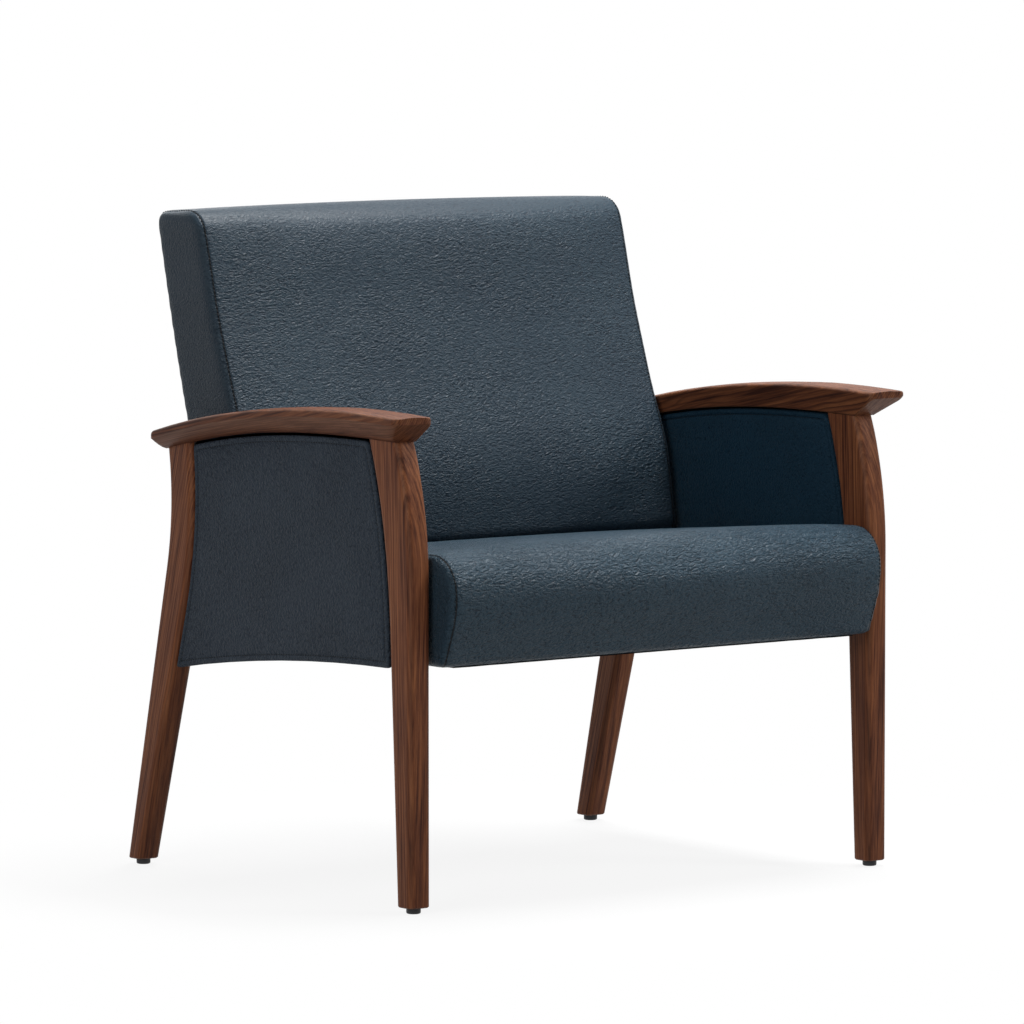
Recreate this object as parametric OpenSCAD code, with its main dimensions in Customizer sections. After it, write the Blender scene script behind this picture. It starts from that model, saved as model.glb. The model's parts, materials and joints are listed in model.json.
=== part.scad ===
// Extra-wide guest armchair for clinics: two shaped timber side frames with upholstered
// side panels, a waterfall seat on steel bearers, a raked back and four levelling glides.
// Millimetres. The floor is z = 0, the sitter faces -Y and the chair is centred on x = 0.
// Right-hand parts lie at +X as seen from the front; left-hand ones are their mirror images.

/* [Overall] */
// Width of the upholstered seat and back
seat_w = 724; // [620:4:860]
// Depth over all, from the seat's nose to the heels of the rear legs
chair_d = 692; // [670:2:720]
// Gap between the upholstery and each side frame
side_gap = 6; // [5:0.5:10]

/* [Legs] */
// Thickness of a leg across the chair
leg_t = 34; // [30:1:44]
// Radius of the long edges of the legs
leg_round = 9; // [4:0.5:12]
// Distance of the front legs' faces behind the seat's nose
leg_setback = 46; // [36:1:56]
// Depth of a front leg at the floor, front to back
front_foot_d = 33.5; // [28:0.5:40]
// Depth of a front leg at its knee, where it starts to lean back
front_knee_d = 52.5; // [46:0.5:60]
// Height of the front legs' knee
knee_h = 433; // [410:1:450]
// Distance that a front leg's face leans back above the knee
front_lean = 32; // [20:1:40]
// Distance that a front leg's rear face sweeps back to meet the arm
front_sweep = 34; // [20:1:44]
// Height at which that rear face starts to sweep back
sweep_h = 350; // [330:1:380]
// Depth of a rear leg at the floor, front to back
rear_foot_d = 32; // [28:0.5:40]
// Splay of a rear leg's front face below its bend
shin_splay = 16.3; // [14:0.1:17.5]
// Splay of a rear leg's rear face below its bend
heel_splay = 12.95; // [12:0.05:14]
// Height at which a rear leg's front face starts to bend upright
shin_bend_h = 350; // [330:1:370]
// Height at which a rear leg's rear face starts to bend upright
heel_bend_h = 410; // [390:1:430]
// Distance that the bend brings the front face back at the arm
shin_bend = 46.5; // [36:0.5:54]
// Distance that the bend brings the rear face back at the arm
heel_bend = 34; // [28:0.5:44]

/* [Arms] */
// Height of the arms' underside at its highest point
arm_under_h = 612; // [590:1:640]
// Thickness of an arm over the front leg
arm_front_t = 35; // [31:0.5:42]
// Thickness of an arm over the rear leg
arm_rear_t = 24.5; // [22:0.5:32]
// Width of an arm's top
arm_w = 62; // [52:1:76]
// Distance that the arm drops from its highest point to its rear end
arm_drop = 42; // [30:1:52]
// Distance of the highest point behind the arm's front tip
arm_crest = 145; // [120:1:180]
// Overhang of the arm's tip in front of the front leg
arm_front_over = 36; // [24:1:46]
// Overhang of the arm's end behind the rear leg
arm_rear_over = 4; // [2:0.5:12]
// Radius of the arm's corners in plan
arm_corner_r = 10; // [6:0.5:16]
// Radius of the arm's upper edges
arm_edge_r = 5; // [3:0.5:7]

/* [Side panels] */
// Gap between the upholstered panel and the legs and arm
panel_gap = 2.5; // [1:0.5:4]
// Drop of the panel's lower edge below the seat's underside, at the front leg
panel_front_drop = 3; // [0:0.5:13]
// Drop of the panel's lower edge below the seat's underside, at the rear leg
panel_rear_drop = 43; // [23:1:57]
// Thickness of the plywood core
panel_board_t = 12; // [9:1:14]
// Thickness of the upholstered outer skin
panel_skin_t = 6; // [4:0.5:8]
// Distance of the outer skin inside the legs' outer faces
panel_inset = 2; // [0:0.5:3]
// Thickness of the side rail in the panel's foot
rail_t = 24; // [18:1:26]
// Height of the side rail's top edge over the seat's underside
rail_rise = 67; // [57:1:81]

/* [Seat] */
// Distance of the seat's rear edge in front of the rear legs' heels
seat_rear_in = 126; // [102:2:152]
// Height of the seat's underside
seat_under_h = 319; // [310:1:326]
// Height of the seat at the side seam, where its top turns into the nose
seat_t = 146.5; // [131:0.5:166]
// Slope of the seat's top down to the rear
seat_rake = 5.1; // [3:0.1:7]
// Rise of the crown over the side seams
seat_crown = 7; // [3:0.5:12]
// Radius of the upper nose
nose_r = 50; // [36:1:58]
// Setback of the nose's foot behind its front
nose_foot = 27; // [18:1:34]
// Radius of the seat's side edges
seat_edge_r = 8; // [5:0.5:12]
// Thickness of the upholstery at the seat's sides
seat_side_t = 10; // [8:0.5:14]
// Thickness of the cover over the foam
cover_t = 10; // [8:0.5:13]
// Thickness of the hardwood seat rails
seat_rail_t = 25; // [20:1:30]
// Height of the hardwood seat rails
seat_rail_h = 60; // [52:1:66]
// Thickness of the plywood seat deck
deck_t = 15; // [12:1:18]
// Width of the steel cross braces
brace_w = 40; // [30:1:50]
// Height of the steel cross braces
brace_h = 25; // [20:1:30]
// Wall of the steel cross braces
brace_wall = 2; // [1.5:0.5:3]

/* [Seat bearers] */
// Thickness of the steel angles that carry the seat
bearer_t = 5; // [4:0.5:6]
// Height of the bearers' upright leg
bearer_h = 46; // [38:1:54]
// Width of the bearers' flat leg
bearer_w = 43; // [38:1:46]
// Gap between the bearers' ends and the legs
bearer_end_gap = 48; // [38:1:70]
// Diameter of the bearers' screws
screw_d = 6; // [5:0.5:6.5]
// Length of those screws under the head
screw_l = 24; // [18:1:26]

/* [Back] */
// Height of the back's top seam
back_top_h = 890; // [862:1:922]
// Horizontal distance from the rear legs' heels to the back's face, at the back's foot
back_heel_in = 247.5; // [236:0.5:256]
// Rake of the back's rear face
back_rake = 15.6; // [14.5:0.1:16.5]
// Rake of the back's front face
back_face_rake = 16.5; // [15.8:0.1:17.2]
// Horizontal thickness of the back at its foot
back_foot_t = 106; // [102:0.5:112]
// Reach of the lumbar swell
lumbar = 11.5; // [4:0.5:14]
// Height of the lumbar swell's middle
lumbar_h = 549; // [530:1:568]
// Hollow of the face above the lumbar swell
back_hollow = 3.5; // [0:0.5:5]
// Rearward bow of the back's rear face
back_bow = 8; // [2:0.5:10]
// Forward crown of the face between its side seams
back_crown = 9; // [3:0.5:12]
// Radius of the back's side edges
back_edge_r = 9; // [6:0.5:14]
// Radius of the back's top front edge
back_top_r = 31; // [24:1:36]
// Thickness of the upholstery at the back's sides
back_side_t = 12; // [10:0.5:14]
// Width of the back's hardwood stiles and rails
stile_w = 25; // [20:1:30]
// Depth of the back's hardwood stiles and rails
stile_d = 42; // [34:1:46]
// Thickness of the outside back panel
outer_back_t = 6; // [4:0.5:8]
// Width of the webbing straps
strap_w = 50; // [40:1:60]
// Number of webbing straps
strap_n = 5; // [3:1:6]
// Diameter of the back's bolts
bolt_d = 8; // [6:0.5:10]
// Outer diameter of the spacer sleeves
spacer_d = 18; // [16:1:22]
// Outer diameter of the threaded inserts in the rear legs
insert_d = 12; // [11.5:0.5:13]

/* [Glides] */
// Diameter of the nylon glide base
glide_d = 19; // [16:0.5:22]
// Height of the glide base, from the floor to the leg
glide_h = 8; // [6:0.5:12]
// Diameter of the glide's threaded stem
stem_d = 8; // [6:0.5:8]
// Length of the stem
stem_l = 34; // [30:1:36]
// Outer diameter of the stem's insert in the leg
stem_insert_d = 11; // [10:0.5:12]
// Length of that insert
stem_insert_l = 26; // [22:1:28]

/* [Hidden] */
$fn = 48;
// Names of the sub-parts
SIDES = ["left", "right"];
CORNERS = ["front_left", "front_right", "rear_left", "rear_right"];

// Colours, as the photograph shows them
wood = "#5c3c28";
vinyl = "#34414d";
vinyl_side = "#2f3640";
vinyl_inner = "#14212e";
hardwood = "#b08a5a";
plywood = "#c8a878";
foam = "#d9c58a";
steel = "#8c9094";
black = "#1a1a1c";

// Clearances and finishing sizes
cut = 1;
seat_fit = 0.2;
soft_fit = 0.3;
joint_fit = 0.1;
bore_fit = 0.05;
foot_chamfer = 1.5;

foot_low = glide_h + foot_chamfer;

// Heights that follow the seat's underside
panel_front_h = seat_under_h - panel_front_drop;
panel_rear_h = seat_under_h - panel_rear_drop;
rail_top_h = seat_under_h + rail_rise;
seat_front_h = seat_under_h + seat_t;

// Plan positions
half_w = seat_w / 2;
leg_in = half_w + side_gap;
leg_out = leg_in + leg_t;
leg_x = (leg_in + leg_out) / 2;
front_y = -chair_d / 2 + leg_setback;
heel_y = chair_d / 2;

function unit(v) = v / norm(v);
function mix(a, b, t) = a + (b - a) * t;
function ramp(t) = min(1, max(0, t));
function ease(t) = ramp(t) * ramp(t) * (3 - 2 * ramp(t));
function beyond(t, p) = pow(max(0, t), p);

// The faces of the legs, as places along Y at a height z
lean_power = 2;
sweep_power = 2.4;
arm_power = 2.3;
function front_leg_face(z) = front_y
    + front_lean * beyond((z - knee_h) / (arm_under_h - knee_h), lean_power);
function front_leg_back(z) = front_y
    + mix(front_foot_d, front_knee_d, (z - glide_h) / (knee_h - glide_h))
    + front_sweep * beyond((z - sweep_h) / (arm_under_h - sweep_h), sweep_power);
rear_top_share = 0.8;
rear_top_h = arm_under_h - arm_drop * rear_top_share;
function rear_leg_face(z) = heel_y - rear_foot_d - (z - foot_low) * tan(shin_splay)
    + shin_bend * beyond((z - shin_bend_h) / (rear_top_h - shin_bend_h), lean_power);
function rear_leg_back(z) = heel_y - (z - foot_low) * tan(heel_splay)
    + heel_bend * beyond((z - heel_bend_h) / (rear_top_h - heel_bend_h), lean_power);

// The arm's ends, underside and top
arm_front_y = front_leg_face(arm_under_h) - arm_front_over;
arm_end_y = rear_leg_back(arm_under_h - arm_drop) + arm_rear_over;
arm_crest_y = arm_front_y + arm_crest;
function arm_under(y) = arm_under_h
    - arm_drop * pow(abs(y - arm_crest_y) / (arm_end_y - arm_crest_y), arm_power);
function arm_thick(y) = mix(arm_front_t, arm_rear_t,
    ramp((y - arm_crest_y) / (arm_end_y - arm_crest_y)));
function arm_top(y) = arm_under(y) + arm_thick(y);
arm_lip = 1;
arm_in = leg_in - arm_lip;
arm_out = arm_in + arm_w;

// A solid through a stack of rings that have equally many points
module loft(rings) {
    n = len(rings[0]);
    last = len(rings) - 1;
    polyhedron(
        points = [for (ring = rings) for (p = ring) p],
        faces = concat(
            [for (k = [0 : last - 1]) for (i = [0 : n - 1]) let (j = (i + 1) % n)
                each [[k * n + i, (k + 1) * n + i, k * n + j],
                      [k * n + j, (k + 1) * n + i, (k + 1) * n + j]]],
            [[for (i = [0 : n - 1]) i]],
            [[for (i = [n - 1 : -1 : 0]) last * n + i]]));
}

// Points of a rounded rectangle, counter-clockwise
corner_steps = 4;
function round_rect(x0, x1, y0, y1, r) = [
    for (c = [[x1 - r, y1 - r, 0], [x0 + r, y1 - r, 90], [x0 + r, y0 + r, 180], [x1 - r, y0 + r, 270]])
    for (i = [0 : corner_steps])
        let (a = c.z + 90 * i / corner_steps) [c.x + r * cos(a), c.y + r * sin(a)]];

// Points of a polygon whose corners [u, v, radius] are rounded, counter-clockwise
arc_steps = 5;
function round_poly(corners) = [
    for (i = [0 : len(corners) - 1])
    let (n = len(corners), c = corners[i], p = corners[(i + n - 1) % n], q = corners[(i + 1) % n],
        at = [c.x, c.y], back = unit([p.x, p.y] - at), ahead = unit([q.x, q.y] - at),
        half = acos(back * ahead) / 2, centre = at + unit(back + ahead) * c.z / sin(half),
        start = at + back * c.z / tan(half) - centre, a0 = atan2(start.y, start.x))
    for (k = [0 : arc_steps])
    let (a = a0 + (180 - 2 * half) * k / arc_steps)
        centre + c.z * [cos(a), sin(a)]];

// The same outline with no side longer than a given step
function fill_in(pts, step) = [
    for (i = [0 : len(pts) - 1])
    let (a = pts[i], b = pts[(i + 1) % len(pts)], n = max(1, ceil(norm(b - a) / step)))
    for (j = [0 : n - 1]) mix(a, b, j / n)];

// Outward direction of an outline at each of its points
function outward(pts) = [
    for (i = [0 : len(pts) - 1])
    let (n = len(pts), t = unit(pts[(i + 1) % n] - pts[(i + n - 1) % n])) [t.y, -t.x]];

module sided(side) {
    if (side == "left") mirror([1, 0, 0]) children();
    else children();
}

module both_sides() {
    for (side = SIDES) sided(side) children();
}

// LEGS

leg_rows = 18;
leg_top_gap = 8;
// Ring of a leg between two points of its faces, [y, z] in front and behind
function leg_ring(f, b, inset) = [
    for (p = round_rect(leg_in + inset, leg_out - inset, f.x + inset, b.x - inset, leg_round - inset))
        [p.x, p.y, mix(f.y, b.y, (p.y - f.x) / (b.x - f.x))]];
// Heights of a leg's rings, closer together above its lower part
function leg_heights(low, bend, top) = concat([low, mix(low, bend, 0.5)],
    [for (i = [0 : leg_rows - 1]) mix(bend, top, i / leg_rows)]);

function front_leg_rings() = let (
    f = front_leg_face(arm_under_h), b = front_leg_back(arm_under_h),
    top = min(arm_under(f), arm_under(b)) - joint_fit)
    concat(
        [leg_ring([front_leg_face(glide_h), glide_h], [front_leg_back(glide_h), glide_h], foot_chamfer)],
        [for (z = leg_heights(foot_low, sweep_h, top - leg_top_gap))
            leg_ring([front_leg_face(z), z], [front_leg_back(z), z], 0)],
        [leg_ring([f, arm_under(f) - joint_fit], [b, arm_under(b) - joint_fit], 0)]);

function rear_leg_rings() = let (
    f = rear_leg_face(arm_under(rear_leg_face(rear_top_h))),
    b = rear_leg_back(arm_under(rear_leg_back(rear_top_h))),
    top = arm_under(b) - joint_fit)
    concat(
        [leg_ring([rear_leg_face(glide_h), glide_h], [rear_leg_back(glide_h), glide_h], foot_chamfer)],
        [for (z = leg_heights(foot_low, shin_bend_h - cut, top - leg_top_gap))
            leg_ring([rear_leg_face(z), z], [rear_leg_back(z), z], 0)],
        [leg_ring([f, arm_under(f) - joint_fit], [b, arm_under(b) - joint_fit], 0)]);

// The vertical axes of the glides, by their distance along Y
glide_front_y = (front_leg_face(glide_h) + front_leg_back(glide_h)) / 2;
glide_rear_y = (rear_leg_face(glide_h) + rear_leg_back(glide_h)) / 2;
module at_glide(corner) {
    x = (corner == "front_left" || corner == "rear_left") ? -leg_x : leg_x;
    y = (corner == "front_left" || corner == "front_right") ? glide_front_y : glide_rear_y;
    translate([x, y, 0]) children();
}

// Bore for the glide's insert, and the hole above it that the stem runs up into
stem_hole_gap = 3;
module glide_bore(y) {
    translate([leg_x, y, glide_h - cut])
        cylinder(d = stem_insert_d + bore_fit * 2, h = stem_insert_l + cut);
    translate([leg_x, y, glide_h - cut])
        cylinder(d = stem_d + stem_hole_gap, h = stem_l - glide_h / 2 + stem_hole_gap + cut);
}

// Dowels between the arm and the legs
arm_dowel_d = 12;
arm_dowel_down = 28;
arm_dowel_up = 17;
arm_dowel_front_y = (front_leg_face(arm_under_h) + front_leg_back(arm_under_h)) / 2;
arm_dowel_rear_y = (rear_leg_face(rear_top_h) + rear_leg_back(rear_top_h)) / 2;
module arm_dowel(y, gap) {
    translate([leg_x, y, arm_under(y) - arm_dowel_down - gap])
        cylinder(d = arm_dowel_d + gap * 2, h = arm_dowel_down + arm_dowel_up + gap * 2);
}

// Dowels between the side rail and the legs
rail_dowel_d = 10;
rail_dowel_l = 56;
rail_dowel_in = 14;
rail_dowel_h = [rail_top_h - rail_dowel_in * 3, rail_top_h - rail_dowel_in];
module rail_dowel_front(gap) {
    for (z = rail_dowel_h)
        translate([rail_x, front_leg_back(z) - rail_dowel_l / 2 - gap, z]) rotate([-90, 0, 0])
            cylinder(d = rail_dowel_d + gap * 2, h = rail_dowel_l + gap * 2);
}
module rail_dowel_rear(gap) {
    for (z = rail_dowel_h)
        translate([rail_x, rear_leg_face(z) - rail_dowel_l / 2 - gap, z]) rotate([-90, 0, 0])
            cylinder(d = rail_dowel_d + gap * 2, h = rail_dowel_l + gap * 2);
}

module front_leg() {
    color(wood) difference() {
        loft(front_leg_rings());
        glide_bore(glide_front_y);
        arm_dowel(arm_dowel_front_y, joint_fit);
        rail_dowel_front(joint_fit);
    }
}

module rear_leg() {
    color(wood) difference() {
        loft(rear_leg_rings());
        glide_bore(glide_rear_y);
        arm_dowel(arm_dowel_rear_y, joint_fit);
        rail_dowel_rear(joint_fit);
        at_back_bolts() translate([0, 0, leg_in - cut])
            cylinder(d = insert_d + bore_fit * 2, h = insert_l + cut);
    }
}

// ARMS

// The arm's section: upright on the inside, flat below over the leg, and flared outside
arm_nose = 5;
arm_top_crown = 1;
flare_power = 1.4;
flare_steps = 4;
edge_steps = 3;
under_r = 3;
// Inset of the arm's outline in plan at a distance from its end
function arm_plan(d) = d >= arm_corner_r ? 0
    : arm_corner_r - sqrt(arm_corner_r * arm_corner_r - pow(arm_corner_r - d, 2));
function arm_ring(y, low, under) = let (
    d = min(y - arm_front_y, arm_end_y - y), s = arm_plan(d),
    x0 = arm_in + s, x1 = arm_out - s, high = arm_top(y),
    foot = mix(min(leg_out, x1 - under_r), x1 - under_r, under),
    nose = min(arm_nose, (high - low) / 4), r = min(arm_edge_r, (high - low) / 3),
    ur = min(under_r, (high - low) / 4))
    [for (p = concat(
        [for (i = [0 : edge_steps]) let (a = 270 - 90 * i / edge_steps)
            [x0 + ur + ur * cos(a), low + ur + ur * sin(a)]],
        [for (i = [0 : edge_steps]) let (a = 180 - 90 * i / edge_steps)
            [x0 + r + r * cos(a), high - r + r * sin(a)]],
        [for (i = [1 : edge_steps]) let (t = i / (edge_steps + 1))
            [mix(x0 + r, x1 - r, t), high + arm_top_crown * sin(180 * t)]],
        [for (i = [0 : edge_steps]) let (a = 90 - 90 * i / edge_steps)
            [x1 - r + r * cos(a), high - r + r * sin(a)]],
        [for (i = [flare_steps : -1 : 0]) let (u = i / flare_steps)
            [mix(foot, x1, u), mix(low, high - r - nose, pow(u, flare_power))]]))
        [p.x, y, p.y]];

// Places of the arm's rings: close together at both ends, then along its bow
arm_rows = 14;
arm_nose_t = 8;
arm_end_rise = 3;
arm_end_shares = [0, 0.12, 0.4, 0.75];
function arm_stations() = concat(
    [for (s = arm_end_shares) arm_front_y + arm_corner_r * s],
    [for (i = [0 : 3]) mix(arm_front_y + arm_corner_r, front_leg_face(arm_under_h), i / 3)],
    [for (i = [1 : arm_rows]) mix(front_leg_face(arm_under_h), arm_end_y - arm_corner_r, i / arm_rows)],
    [for (i = [len(arm_end_shares) - 1 : -1 : 0]) arm_end_y - arm_corner_r * arm_end_shares[i]]);
// Share of the undercut at a place along the arm
function undercut(y) = ramp((front_leg_face(arm_under_h) - y) / arm_front_over);
function arm_low(y) = mix(arm_under(y), arm_top(y) - arm_nose_t, undercut(y))
    + arm_end_rise * ramp((y - arm_end_y + arm_rear_over) / arm_rear_over);

module arm() {
    color(wood) difference() {
        loft([for (y = arm_stations()) arm_ring(y, arm_low(y), undercut(y))]);
        arm_dowel(arm_dowel_front_y, joint_fit);
        arm_dowel(arm_dowel_rear_y, joint_fit);
    }
}

module arm_dowels() {
    color(hardwood) both_sides() {
        arm_dowel(arm_dowel_front_y, 0);
        arm_dowel(arm_dowel_rear_y, 0);
    }
}

// SIDE PANELS

// Outline between the legs and under the arm, [y, z], held off them by a gap
panel_steps = 8;
function panel_low(y) = let (y0 = front_leg_back(panel_front_h), y1 = rear_leg_face(panel_rear_h))
    mix(panel_front_h, panel_rear_h, pow(ramp((y - y0) / (y1 - y0)), lean_power));
panel_top_front = front_leg_back(arm_under_h) + panel_gap;
panel_top_rear = rear_leg_face(rear_top_h) - panel_gap;
function panel_outline(gap, low_gap, foot_h) = let (
    z0 = max(foot_h, panel_front_h + low_gap), z1 = max(foot_h, panel_rear_h + low_gap),
    t0 = arm_under(panel_top_front) - gap, t1 = arm_under(panel_top_rear) - gap)
    concat(
        [for (i = [0 : panel_steps]) let (z = mix(t0, z0, i / panel_steps))
            [front_leg_back(z) + gap, z]],
        [for (i = [1 : panel_steps - 1])
            let (y = mix(front_leg_back(z0) + gap, rear_leg_face(z1) - gap, i / panel_steps))
            [y, max(foot_h, panel_low(y) + low_gap)]],
        [for (i = [0 : panel_steps]) let (z = mix(z1, t1, i / panel_steps))
            [rear_leg_face(z) - gap, z]],
        [for (i = [1 : panel_steps - 1]) let (y = mix(panel_top_rear, panel_top_front, i / panel_steps))
            [y, arm_under(y) - gap]]);

rail_in = leg_in + panel_inset;
board_out = leg_out - panel_inset - panel_skin_t;
board_in = board_out - panel_board_t;
rail_out = min(rail_in + rail_t, board_out);
rail_x = (rail_in + rail_out) / 2;
board_gap = 0.8;
rail_low_gap = 4;
rail_fit = 0.4;

// Extrudes an outline in the YZ plane from one x to another
module slab(x0, x1) {
    translate([x0, 0, 0]) rotate([90, 0, 90]) linear_extrude(x1 - x0) children();
}

module side_rail() {
    pts = panel_outline(rail_fit, rail_low_gap, 0);
    color(hardwood) difference() {
        slab(rail_in, rail_out) intersection() {
            polygon(pts);
            translate([-chair_d, 0]) square([chair_d * 2, rail_top_h]);
        }
        rail_dowel_front(joint_fit);
        rail_dowel_rear(joint_fit);
        bearer_screw_holes(screw_d + bore_fit * 2);
    }
}

module rail_dowels() {
    color(hardwood) both_sides() {
        rail_dowel_front(0);
        rail_dowel_rear(0);
    }
}

module panel_board() {
    color(plywood) slab(board_in, board_out)
        polygon(panel_outline(board_gap, rail_low_gap, rail_top_h));
}

// An upholstered skin: flat against its board, with rounded edges and a slight crown
skin_crown = 1.5;
skin_edge_steps = 3;
module skin(pts, flat_x, face_x) {
    t = face_x - flat_x;
    r = abs(t) - skin_crown;
    dirs = outward(pts);
    mid = [mix(pts[0].x, pts[panel_steps * 2].x, 0.5), mix(pts[0].y, pts[panel_steps].y, 0.5)];
    rims = [for (i = [0 : skin_edge_steps]) let (a = 90 * i / skin_edge_steps)
        [for (k = [0 : len(pts) - 1]) let (p = pts[k] - dirs[k] * r * (1 - cos(a)))
            [flat_x + sign(t) * r * sin(a), p.x, p.y]]];
    rise_shares = [0.45, 0.8];
    crown = [for (s = rise_shares)
        [for (p = rims[skin_edge_steps]) let (q = mix([p.y, p.z], mid, s / 2))
            [flat_x + sign(t) * (r + skin_crown * s), q.x, q.y]]];
    rings = concat(rims, crown);
    loft(t > 0 ? rings : [for (i = [len(rings) - 1 : -1 : 0]) rings[i]]);
}

module panel_outer() {
    color(vinyl_side) skin(panel_outline(panel_gap, 0, 0), board_out, leg_out - panel_inset);
}

inner_skin_out = 1;
module panel_inner() {
    color(vinyl_inner) skin(panel_outline(panel_gap, 0, rail_top_h + soft_fit),
        board_in, leg_in + inner_skin_out);
}

// SEAT

// Height of the seat's side seam along Y
nose_y = -chair_d / 2 + seat_crown;
seat_rear_y = heel_y - seat_rear_in;
seat_crest_y = nose_y + nose_r;
function seat_seam(y) = seat_front_h - (y - seat_crest_y) * tan(seat_rake);
seat_low = seat_under_h + soft_fit;
nose_bend_h = seat_under_h + seat_rail_h;
nose_bend_r = 110;
nose_foot_r = 18;
edge_spare = 4;
seat_rear_r = seat_edge_r + edge_spare;
seat_step = 70;
function seat_profile() = fill_in(round_poly([
    [nose_y + nose_foot, seat_low, nose_foot_r],
    [seat_rear_y, seat_low, seat_rear_r],
    [seat_rear_y, seat_seam(seat_rear_y), seat_rear_r],
    [nose_y, seat_seam(nose_y), nose_r],
    [nose_y, nose_bend_h, nose_bend_r]]), seat_step);

// Places across a cushion as [x, inset], from -X to +X, rounded at both sides
edge_arc = 3;
span_steps = 8;
function cushion_rows(half, r) = let (
    side = [for (i = [0 : edge_arc]) let (a = 90 * i / edge_arc) [half - r + r * cos(a), r - r * sin(a)]],
    span = [for (i = [1 : span_steps - 1]) [mix(r - half, half - r, i / span_steps), 0]])
    concat([for (p = side) [-p.x, p.y]], span, [for (i = [edge_arc : -1 : 0]) side[i]]);
function crown_at(x, half) = 1 - pow(abs(x) / half, 2);

// Share of the crown that a point of the seat's section takes: none below and behind
puff_rise = 80;
puff_fade = 96;
function seat_puff(p) = ease((p.y - seat_low) / puff_rise) * ease((seat_rear_y - p.x) / puff_fade);
module seat_form() {
    pts = seat_profile();
    dirs = outward(pts);
    loft([for (row = cushion_rows(half_w, seat_edge_r))
        [for (i = [0 : len(pts) - 1])
            let (p = pts[i] + dirs[i] * (seat_crown * crown_at(row.x, half_w) * seat_puff(pts[i]) - row.y))
            [row.x, p.x, p.y]]]);
}

// The hardwood frame inside the seat
frame_half = half_w - seat_side_t;
frame_front_y = nose_y + nose_foot + nose_foot_r / 2;
frame_rear_y = seat_rear_y - seat_rear_r - seat_fit;
rail_high = seat_under_h + seat_rail_h;
deck_high = rail_high + deck_t;
foam_half = frame_half - seat_side_t;
foam_rear_y = frame_rear_y - seat_side_t;

module block(from, to) {
    translate(from) cube(to - from);
}

function seat_foam_outline(gap) = [
    [frame_front_y - gap, deck_high],
    [foam_rear_y + gap, deck_high],
    [foam_rear_y + gap, seat_seam(foam_rear_y) - cover_t + gap],
    [frame_front_y - gap, seat_seam(frame_front_y) - cover_t + gap]];

module seat_foam() {
    color(foam) slab(-foam_half, foam_half) polygon(seat_foam_outline(0));
}

module seat_cover() {
    color(vinyl) difference() {
        seat_form();
        block([-frame_half - seat_fit, frame_front_y - seat_fit, seat_under_h - cut],
            [frame_half + seat_fit, frame_rear_y + seat_fit, deck_high + seat_fit]);
        slab(-foam_half - seat_fit, foam_half + seat_fit) polygon(seat_foam_outline(seat_fit));
    }
}

module seat_cross_rail(y) {
    color(hardwood) block([-frame_half, y, seat_under_h], [frame_half, y + seat_rail_t, rail_high]);
}

module seat_side_rail() {
    color(hardwood) difference() {
        block([frame_half - seat_rail_t, frame_front_y + seat_rail_t, seat_under_h],
            [frame_half, frame_rear_y - seat_rail_t, rail_high]);
        for (y = bearer_places) translate([seat_screw_x, y, seat_under_h - cut])
            cylinder(d = screw_d + bore_fit * 2, h = screw_l + cut);
    }
}

module seat_deck() {
    color(plywood) block([-frame_half, frame_front_y, rail_high], [frame_half, frame_rear_y, deck_high]);
}

// Steel tube across the frame, with a plate at each end
brace_plate_t = 3;
brace_plate_h = 50;
brace_plate_share = 1.5;
brace_front_share = 0.32;
brace_rear_share = 0.68;
brace_half = frame_half - seat_rail_t;
module seat_brace(share) {
    y = mix(frame_front_y, frame_rear_y, share);
    tube_half = brace_half - brace_plate_t;
    plate_w = brace_w * brace_plate_share;
    color(steel) {
        difference() {
            block([-tube_half, y - brace_w / 2, rail_high - brace_h],
                [tube_half, y + brace_w / 2, rail_high]);
            block([-tube_half - cut, y - brace_w / 2 + brace_wall, rail_high - brace_h + brace_wall],
                [tube_half + cut, y + brace_w / 2 - brace_wall, rail_high - brace_wall]);
        }
        both_sides() block([tube_half, y - plate_w / 2, rail_high - brace_plate_h],
            [brace_half, y + plate_w / 2, rail_high]);
    }
}

corner_block_w = 50;
corner_block_h = 40;
module seat_corner_blocks() {
    color(hardwood) both_sides() for (end = [0, 1])
        translate([brace_half, end == 0 ? frame_front_y + seat_rail_t : frame_rear_y - seat_rail_t,
            rail_high - corner_block_h])
            linear_extrude(corner_block_h)
                polygon([[0, 0], [-corner_block_w, 0], [0, end == 0 ? corner_block_w : -corner_block_w]]);
}

dust_cover_t = 1;
module seat_dust_cover() {
    color(black) block(
        [-bearer_in + bearer_t, frame_front_y, seat_under_h - dust_cover_t],
        [bearer_in - bearer_t, frame_rear_y, seat_under_h]);
}

// SEAT BEARERS

bearer_in = rail_in - bearer_w;
bearer_front_y = front_leg_back(seat_under_h) + bearer_end_gap;
bearer_rear_y = rear_leg_face(seat_under_h) - bearer_end_gap;
bearer_low = seat_under_h - bearer_t;
bearer_screw_n = 3;
bearer_margin = 30;
bearer_places = [for (i = [0 : bearer_screw_n - 1])
    mix(bearer_front_y + bearer_margin, bearer_rear_y - bearer_margin, i / (bearer_screw_n - 1))];
bearer_screw_h = bearer_low + bearer_h - bearer_h / 3;
seat_screw_x = frame_half - seat_rail_t / 2;
csk_d = 12;
csk_h = 3;

module bearer_screw_holes(d) {
    for (y = bearer_places) translate([rail_in - bearer_t - cut, y, bearer_screw_h])
        rotate([0, 90, 0]) cylinder(d = d, h = screw_l + cut);
}

// Countersunk hole or head that opens towards the seat
module countersink(gap) {
    for (y = bearer_places) translate([rail_in - bearer_t, y, bearer_screw_h])
        rotate([0, 90, 0]) cylinder(d1 = csk_d + gap * 2, d2 = screw_d + gap * 2, h = csk_h);
}

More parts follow.
